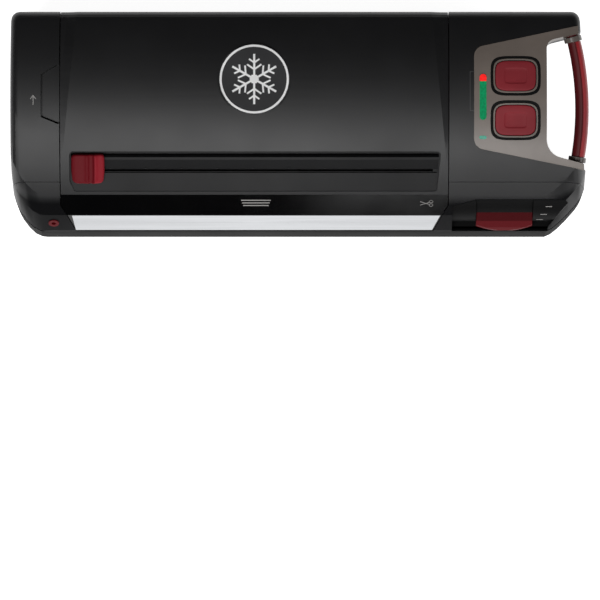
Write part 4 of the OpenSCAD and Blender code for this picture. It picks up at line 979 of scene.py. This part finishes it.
class SEALER_OT_cutter(SealerOperator):
    """Cutter knob with a ridge and a scooped thumb face"""

    bl_idname = "sealer.cutter"
    bl_label = "Cutter knob"

    def make(self, s):
        lo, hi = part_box("cutter_knob")
        mid = (lo.x + hi.x) / 2
        half = (hi.x - lo.x) / 2
        # share of the half width and height in millimetres, from left to right
        profile = [
            (-1.0, 2.6), (-0.965, 3.7), (-0.92, 4.5), (-0.84, 5.05), (-0.7, 5.35), (-0.5, 5.45),
            (-0.32, 5.4), (-0.2, 5.5), (-0.13, 5.95), (-0.08, 6.3), (-0.03, 6.35), (0.02, 6.1),
            (0.06, 5.4), (0.1, 5.0), (0.2, 4.85), (0.29, 4.95), (0.34, 5.5), (0.38, 6.3),
            (0.42, 6.75), (0.47, 6.85), (0.52, 6.6), (0.58, 5.9), (0.65, 5.3), (0.75, 5.0),
            (0.86, 4.75), (0.93, 4.3), (0.97, 3.6), (1.0, 2.4),
        ]
        y0, y1, underside, steps = 19.0, -11.6, -1.3, 24
        corner_r, edge_r, corner_share = 4.5, 1.6, 0.85
        taper, taper_run = 1.3, 12.0

        def rounding(r, ends):
            """How far a corner of radius r falls away at these distances from both ends."""
            return sum(r - math.sqrt(max(0.0, r * r - (r - d) ** 2)) for d in ends if d < r)

        rings = []
        for i in range(steps + 1):
            y = y0 + (y1 - y0) * (0.5 - 0.5 * math.cos(math.pi * i / steps))
            ends = (y0 - y, y - y1)
            narrow = rounding(corner_r, ends) * corner_share
            narrow += taper * max(0.0, 1 - ends[1] / taper_run)
            w, drop = half - narrow * MM, rounding(edge_r, ends)
            ring = [(px * w, y * MM, (pz - drop) * MM) for px, pz in profile]
            ring += [(w, y * MM, underside * MM), (-w, y * MM, underside * MM)]
            rings.append(ring)
        me = rings_mesh("cutter_grip", rings, crown_frame(mid, TRACK_Y), 60)
        piece("cutter_grip", me, "knob_red", "cutter", ("cutter_knob",))

        def bump(p):
            ball = p.node("GeometryNodeMeshUVSphere")
            ball.inputs["Segments"].default_value = 14
            ball.inputs["Rings"].default_value = 8
            p.link(p.inputs["Bump radius"], ball.inputs["Radius"])
            flat = p.node("GeometryNodeTransform")
            flat.inputs["Scale"].default_value = (1.5, 0.7, 0.55)
            p.link(ball.outputs["Mesh"], flat.inputs["Geometry"])
            return flat.outputs["Geometry"]

        count = s.bump_count
        step = (SLOT_X[1] - SLOT_X[0]) / (count + 1)
        row = in_line(
            "slot_bumps",
            {"Count": count, "Step": step, "Bump radius": s.bump_radius},
            bump,
            "shell_matte",
        )
        tray_floor, behind_slot = -4.35 * MM, 2.3 * MM
        place = crown_frame(SLOT_X[0] + step, TRACK_Y, tray_floor)
        place = place @ Matrix.Translation((0, behind_slot, 0))
        piece("slot_bumps", row.mesh("slot_bumps", place), "shell_matte", "lid")


# faces of a box whose corners 0 to 3 go round its underside and 4 to 7 round its top
BOX_FACES = ((3, 2, 1, 0), (4, 5, 6, 7), (0, 1, 5, 4), (1, 2, 6, 5), (2, 3, 7, 6), (3, 0, 4, 7))
MARK_DEPTH = (-0.05 * MM, 0.06 * MM)
STROKE_OVERRUN = 0.3


def stroke(verts, faces, pts, width):
    """Adds a flat printed line of some width through points."""
    for p, q in zip(pts, pts[1:]):
        p, q = Vector(p), Vector(q)
        u = (q - p).normalized()
        n = Vector((-u.y, u.x)) * width / 2
        p, q = p - u * width * STROKE_OVERRUN, q + u * width * STROKE_OVERRUN
        base = len(verts)
        verts += [(*c, z) for z in MARK_DEPTH for c in (p - n, q - n, q + n, p + n)]
        faces += [tuple(base + i for i in f) for f in BOX_FACES]


class SEALER_OT_marks(SealerOperator):
    """Small printed signs: film, scissors, lever stops, light bracket and an opening arrow"""

    bl_idname = "sealer.marks"
    bl_label = "Printed marks"

    def make(self, s):
        def printed(name, strokes, place, body, width=s.mark_line):
            verts, faces = [], []
            for pts in strokes:
                stroke(verts, faces, [(x * MM, y * MM) for x, y in pts], width)
            piece(name, mesh_from(name, verts, faces, place, 30), "mark_grey", body)

        fascia = slope_frame(LID_MID_X, FASCIA_END, CROWN_FRONT, MARKS_UP_FASCIA)
        film = [[(-15 + 1.1 * k, 3.6 - 3.0 * k), (15 - 1.1 * k, 3.6 - 3.0 * k)] for k in range(3)]
        film_at = fascia @ Matrix.Translation((FILM_MARK_X, 0, 0))
        printed("film_mark", film, film_at, "lid", width=1.15 * MM)
        shears = [[(-6, 2.0), (3.5, -1.2)], [(-6, -2.0), (3.5, 1.2)]]
        for sy in (-1, 1):
            turns = [2 * math.pi * i / 12 for i in range(13)]
            shears.append([(5.2 + 1.9 * math.cos(a), sy * 2.0 + 1.5 * math.sin(a)) for a in turns])
        printed("shears_mark", shears, fascia @ Matrix.Translation((SHEARS_MARK_X, 0, 0)), "lid")
        self.light_bracket()
        for k, (x, angle) in enumerate(LEVER_STOPS):
            turn = Matrix.Rotation(math.radians(90 - angle), 4, "X")
            at = Matrix.Translation(LATCH_AXIS + Vector((x * MM, 0, 0))) @ turn
            at = at @ Matrix.Translation((0, 0, LATCH_R))
            printed(f"lever_stop_{k + 1}", [[(-3, 0), (3, 0)]], at, "base", width=0.9 * MM)
        arrow = [[(-5, 0), (4, 0)], [(1, 2.6), (4.6, 0), (1, -2.6)]]
        spot = crown_frame(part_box("left_pod_cover")[0].x + 24 * MM, 15 * MM)
        spot = spot @ Matrix.Rotation(math.pi / 2, 4, "Z")
        printed("open_arrow", arrow, spot, "base", width=0.75 * MM)

    def light_bracket(self):
        """Thin bracket on the crown beside the lights, with a short foot at each end."""
        x = LENS_X - 13.2 * MM
        rear, front, half, foot, rows = 44 * MM, 4 * MM, 0.25 * MM, 4 * MM, 12
        low, high = MARK_DEPTH
        section = ((-half, low), (half, low), (half, high), (-half, high))
        rows_y = [rear - (rear - front) * k / rows for k in range(rows + 1)]
        rings = [[crown_frame(x + dx, y, z).translation for dx, z in section] for y in rows_y]
        parts = [rings_mesh("spine", rings)]
        for y in (rear, front):
            verts, faces = [], []
            stroke(verts, faces, [(0, 0), (foot, 0)], 2 * half)
            parts.append(mesh_from("foot", verts, faces, crown_frame(x, y)))
        piece("light_bracket", joined("light_bracket", parts, 30), "mark_dim", "base")


class SEALER_OT_deck(SealerOperator):
    """Ribs of the roll trough"""

    bl_idname = "sealer.deck"
    bl_label = "Work deck"

    def make(self, s):
        def rib(p):
            sweep, first = math.radians(110), math.radians(215)
            rod = bent_rod(p, p.inputs["Arc radius"], sweep, first, p.inputs["Rib radius"])
            stand = p.node("GeometryNodeTransform")
            stand.inputs["Rotation"].default_value = (math.pi / 2, 0, math.pi / 2)
            p.link(rod, stand.inputs["Geometry"])
            return stand.outputs["Geometry"]

        count = s.trough_ribs
        margin = 30 * MM
        span = LID_HI.x - LID_LO.x - 2 * margin
        row = in_line(
            "trough_ribs",
            {
                "Count": count,
                "Step": span / (count - 1),
                "Arc radius": TROUGH_R - 0.1 * MM,
                "Rib radius": 0.7 * MM,
            },
            rib,
            "deck_plastic",
        )
        place = Matrix.Translation((LID_LO.x + margin, *TROUGH_C))
        ribs = row.mesh("trough_ribs", place)
        piece("trough_ribs", ribs, "deck_plastic", "base")


class SEALER_OT_fittings(SealerOperator):
    """Socket pins and the rings moulded under the feet"""

    bl_idname = "sealer.fittings"
    bl_label = "Small fittings"

    def make(self, s):
        lo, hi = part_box("power_inlet")
        mid_x, mid_z = (lo.x + hi.x) / 2, (lo.z + hi.z) / 2
        parts, pin_apart = [], 4.2 * MM
        turns = [2 * math.pi * k / 16 for k in range(16)]
        for cx in (mid_x - pin_apart, mid_x + pin_apart):
            rings = [
                [
                    (cx + r * MM * math.cos(a), hi.y + y * MM, mid_z + r * MM * math.sin(a))
                    for a in turns
                ]
                for r, y in ((1.2, -11), (1.2, -3.2), (0.9, -2.6), (0.3, -2.2))
            ]
            parts.append(rings_mesh("pin", rings))
        piece("socket_pins", joined("socket_pins", parts), "pin_steel", "base")

        def ring(p):
            circle = p.node("GeometryNodeCurvePrimitiveCircle", mode="RADIUS")
            circle.inputs["Resolution"].default_value = 40
            p.link(p.inputs["Ring radius"], circle.inputs["Radius"])
            thread = p.node("GeometryNodeCurvePrimitiveCircle", mode="RADIUS")
            thread.inputs["Resolution"].default_value = 8
            p.link(p.inputs["Thread"], thread.inputs["Radius"])
            skin = p.node("GeometryNodeCurveToMesh")
            p.link(circle.outputs["Curve"], skin.inputs["Curve"])
            p.link(thread.outputs["Curve"], skin.inputs["Profile Curve"])
            return skin.outputs["Mesh"]

        lo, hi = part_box("rubber_feet")
        foot_r = 9 * MM
        bm = bmesh.new()
        row = in_line(
            "foot_rings",
            {
                "Count": 2,
                "Step": hi.x - lo.x - 2 * foot_r,
                "Ring radius": 6.2 * MM,
                "Thread": 0.5 * MM,
            },
            ring,
            "foot_rubber",
        )
        for y in (lo.y + foot_r, hi.y - foot_r):
            part = row.mesh("foot_rings", Matrix.Translation((lo.x + foot_r, y, 0.55 * MM)))
            bm.from_mesh(part)
        me = bpy.data.meshes.new("foot_rings")
        bm.to_mesh(me)
        bm.free()
        piece("foot_rings", me, "foot_rubber", "base")


class SEALER_OT_stage(SealerOperator):
    """Pale floor, soft studio light and the camera"""

    bl_idname = "sealer.stage"
    bl_label = "Stage"

    def make(self, s):
        scene = bpy.context.scene
        scene.view_settings.view_transform = "Standard"
        scene.view_settings.look = "None"
        me = bpy.data.meshes.new("floor")
        r = 6.0
        me.from_pydata([(-r, -r, 0), (r, -r, 0), (r, r, 0), (-r, r, 0)], [], [(0, 1, 2, 3)])
        floor = bpy.data.objects.new("floor", me)
        scene.collection.objects.link(floor)
        look = Look("floor_paper", (0.92, 0.92, 0.92), 0.7, specular=0.2)
        look.bump(look.noise(160, 3), 0.05 * MM, 0.1)
        look.set("Emission Color", (1, 1, 1, 1))
        look.set("Emission Strength", 0.95)
        me.materials.append(look.mat)
        world = bpy.data.worlds.new("studio_air")
        scene.world = world
        world.use_nodes = True
        sky = world.node_tree.nodes["Background"]
        sky.inputs["Color"].default_value = (1, 1, 1, 1)
        sky.inputs["Strength"].default_value = 0.025
        aim = Vector((0, -0.02, 0.06))
        for name, place, size, power in (
            ("front_softbox", (-0.35, -1.0, 1.95), (1.5, 0.4), 30),
            ("low_softbox", (0.5, -1.6, 1.1), (1.0, 0.3), 4),
            ("right_softbox", (1.5, -0.3, 0.9), (0.3, 1.0), 3),
        ):
            light = bpy.data.lights.new(name, "AREA")
            light.shape = "RECTANGLE"
            light.size, light.size_y = size
            light.energy = power
            obj = bpy.data.objects.new(name, light)
            obj.location = place
            obj.rotation_euler = (aim - Vector(place)).to_track_quat("-Z", "Y").to_euler()
            scene.collection.objects.link(obj)
        cam = bpy.data.objects.new("camera", bpy.data.cameras.new("camera"))
        scene.collection.objects.link(cam)
        cam.data.sensor_width = 36
        cam.data.lens = CAMERA_LENS
        seen, pitch = math.radians(CAMERA_SEEN_FROM), math.radians(CAMERA_PITCH)
        away = Vector((0, -math.cos(seen), math.sin(seen))) * CAMERA_AWAY
        cam.location = away + Vector((0, CAMERA_AIM_Y, 0))
        ahead = Vector((0, math.cos(pitch), -math.sin(pitch)))
        cam.rotation_euler = ahead.to_track_quat("-Z", "Y").to_euler()
        cam.data.clip_end = 50
        scene.camera = cam


STEPS = (
    SEALER_OT_finishes,
    SEALER_OT_lid,
    SEALER_OT_shells,
    SEALER_OT_panel,
    SEALER_OT_buttons,
    SEALER_OT_handle,
    SEALER_OT_lever,
    SEALER_OT_cutter,
    SEALER_OT_marks,
    SEALER_OT_deck,
    SEALER_OT_fittings,
    SEALER_OT_stage,
)


class SEALER_PT_panel(bpy.types.Panel):
    bl_label = "Vacuum sealer"
    bl_space_type = "VIEW_3D"
    bl_region_type = "UI"
    bl_category = "Sealer"

    def draw(self, context):
        for group in (context.scene.sealer_sizes, context.scene.sealer_colours):
            for key in group.bl_rna.properties.keys():
                if key not in ("rna_type", "name"):
                    self.layout.prop(group, key)
        for step in STEPS:
            self.layout.operator(step.bl_idname)


CLASSES = (SealerColours, SealerSizes, *STEPS, SEALER_PT_panel)


def register():
    for c in CLASSES:
        bpy.utils.register_class(c)
    bpy.types.Scene.sealer_colours = bpy.props.PointerProperty(type=SealerColours)
    bpy.types.Scene.sealer_sizes = bpy.props.PointerProperty(type=SealerSizes)


def unregister():
    del bpy.types.Scene.sealer_sizes
    del bpy.types.Scene.sealer_colours
    for c in reversed(CLASSES):
        bpy.utils.unregister_class(c)


def main():
    register()
    for step in STEPS:
        group, call = step.bl_idname.split(".")
        getattr(getattr(bpy.ops, group), call)()


if __name__ == "__main__":
    main()
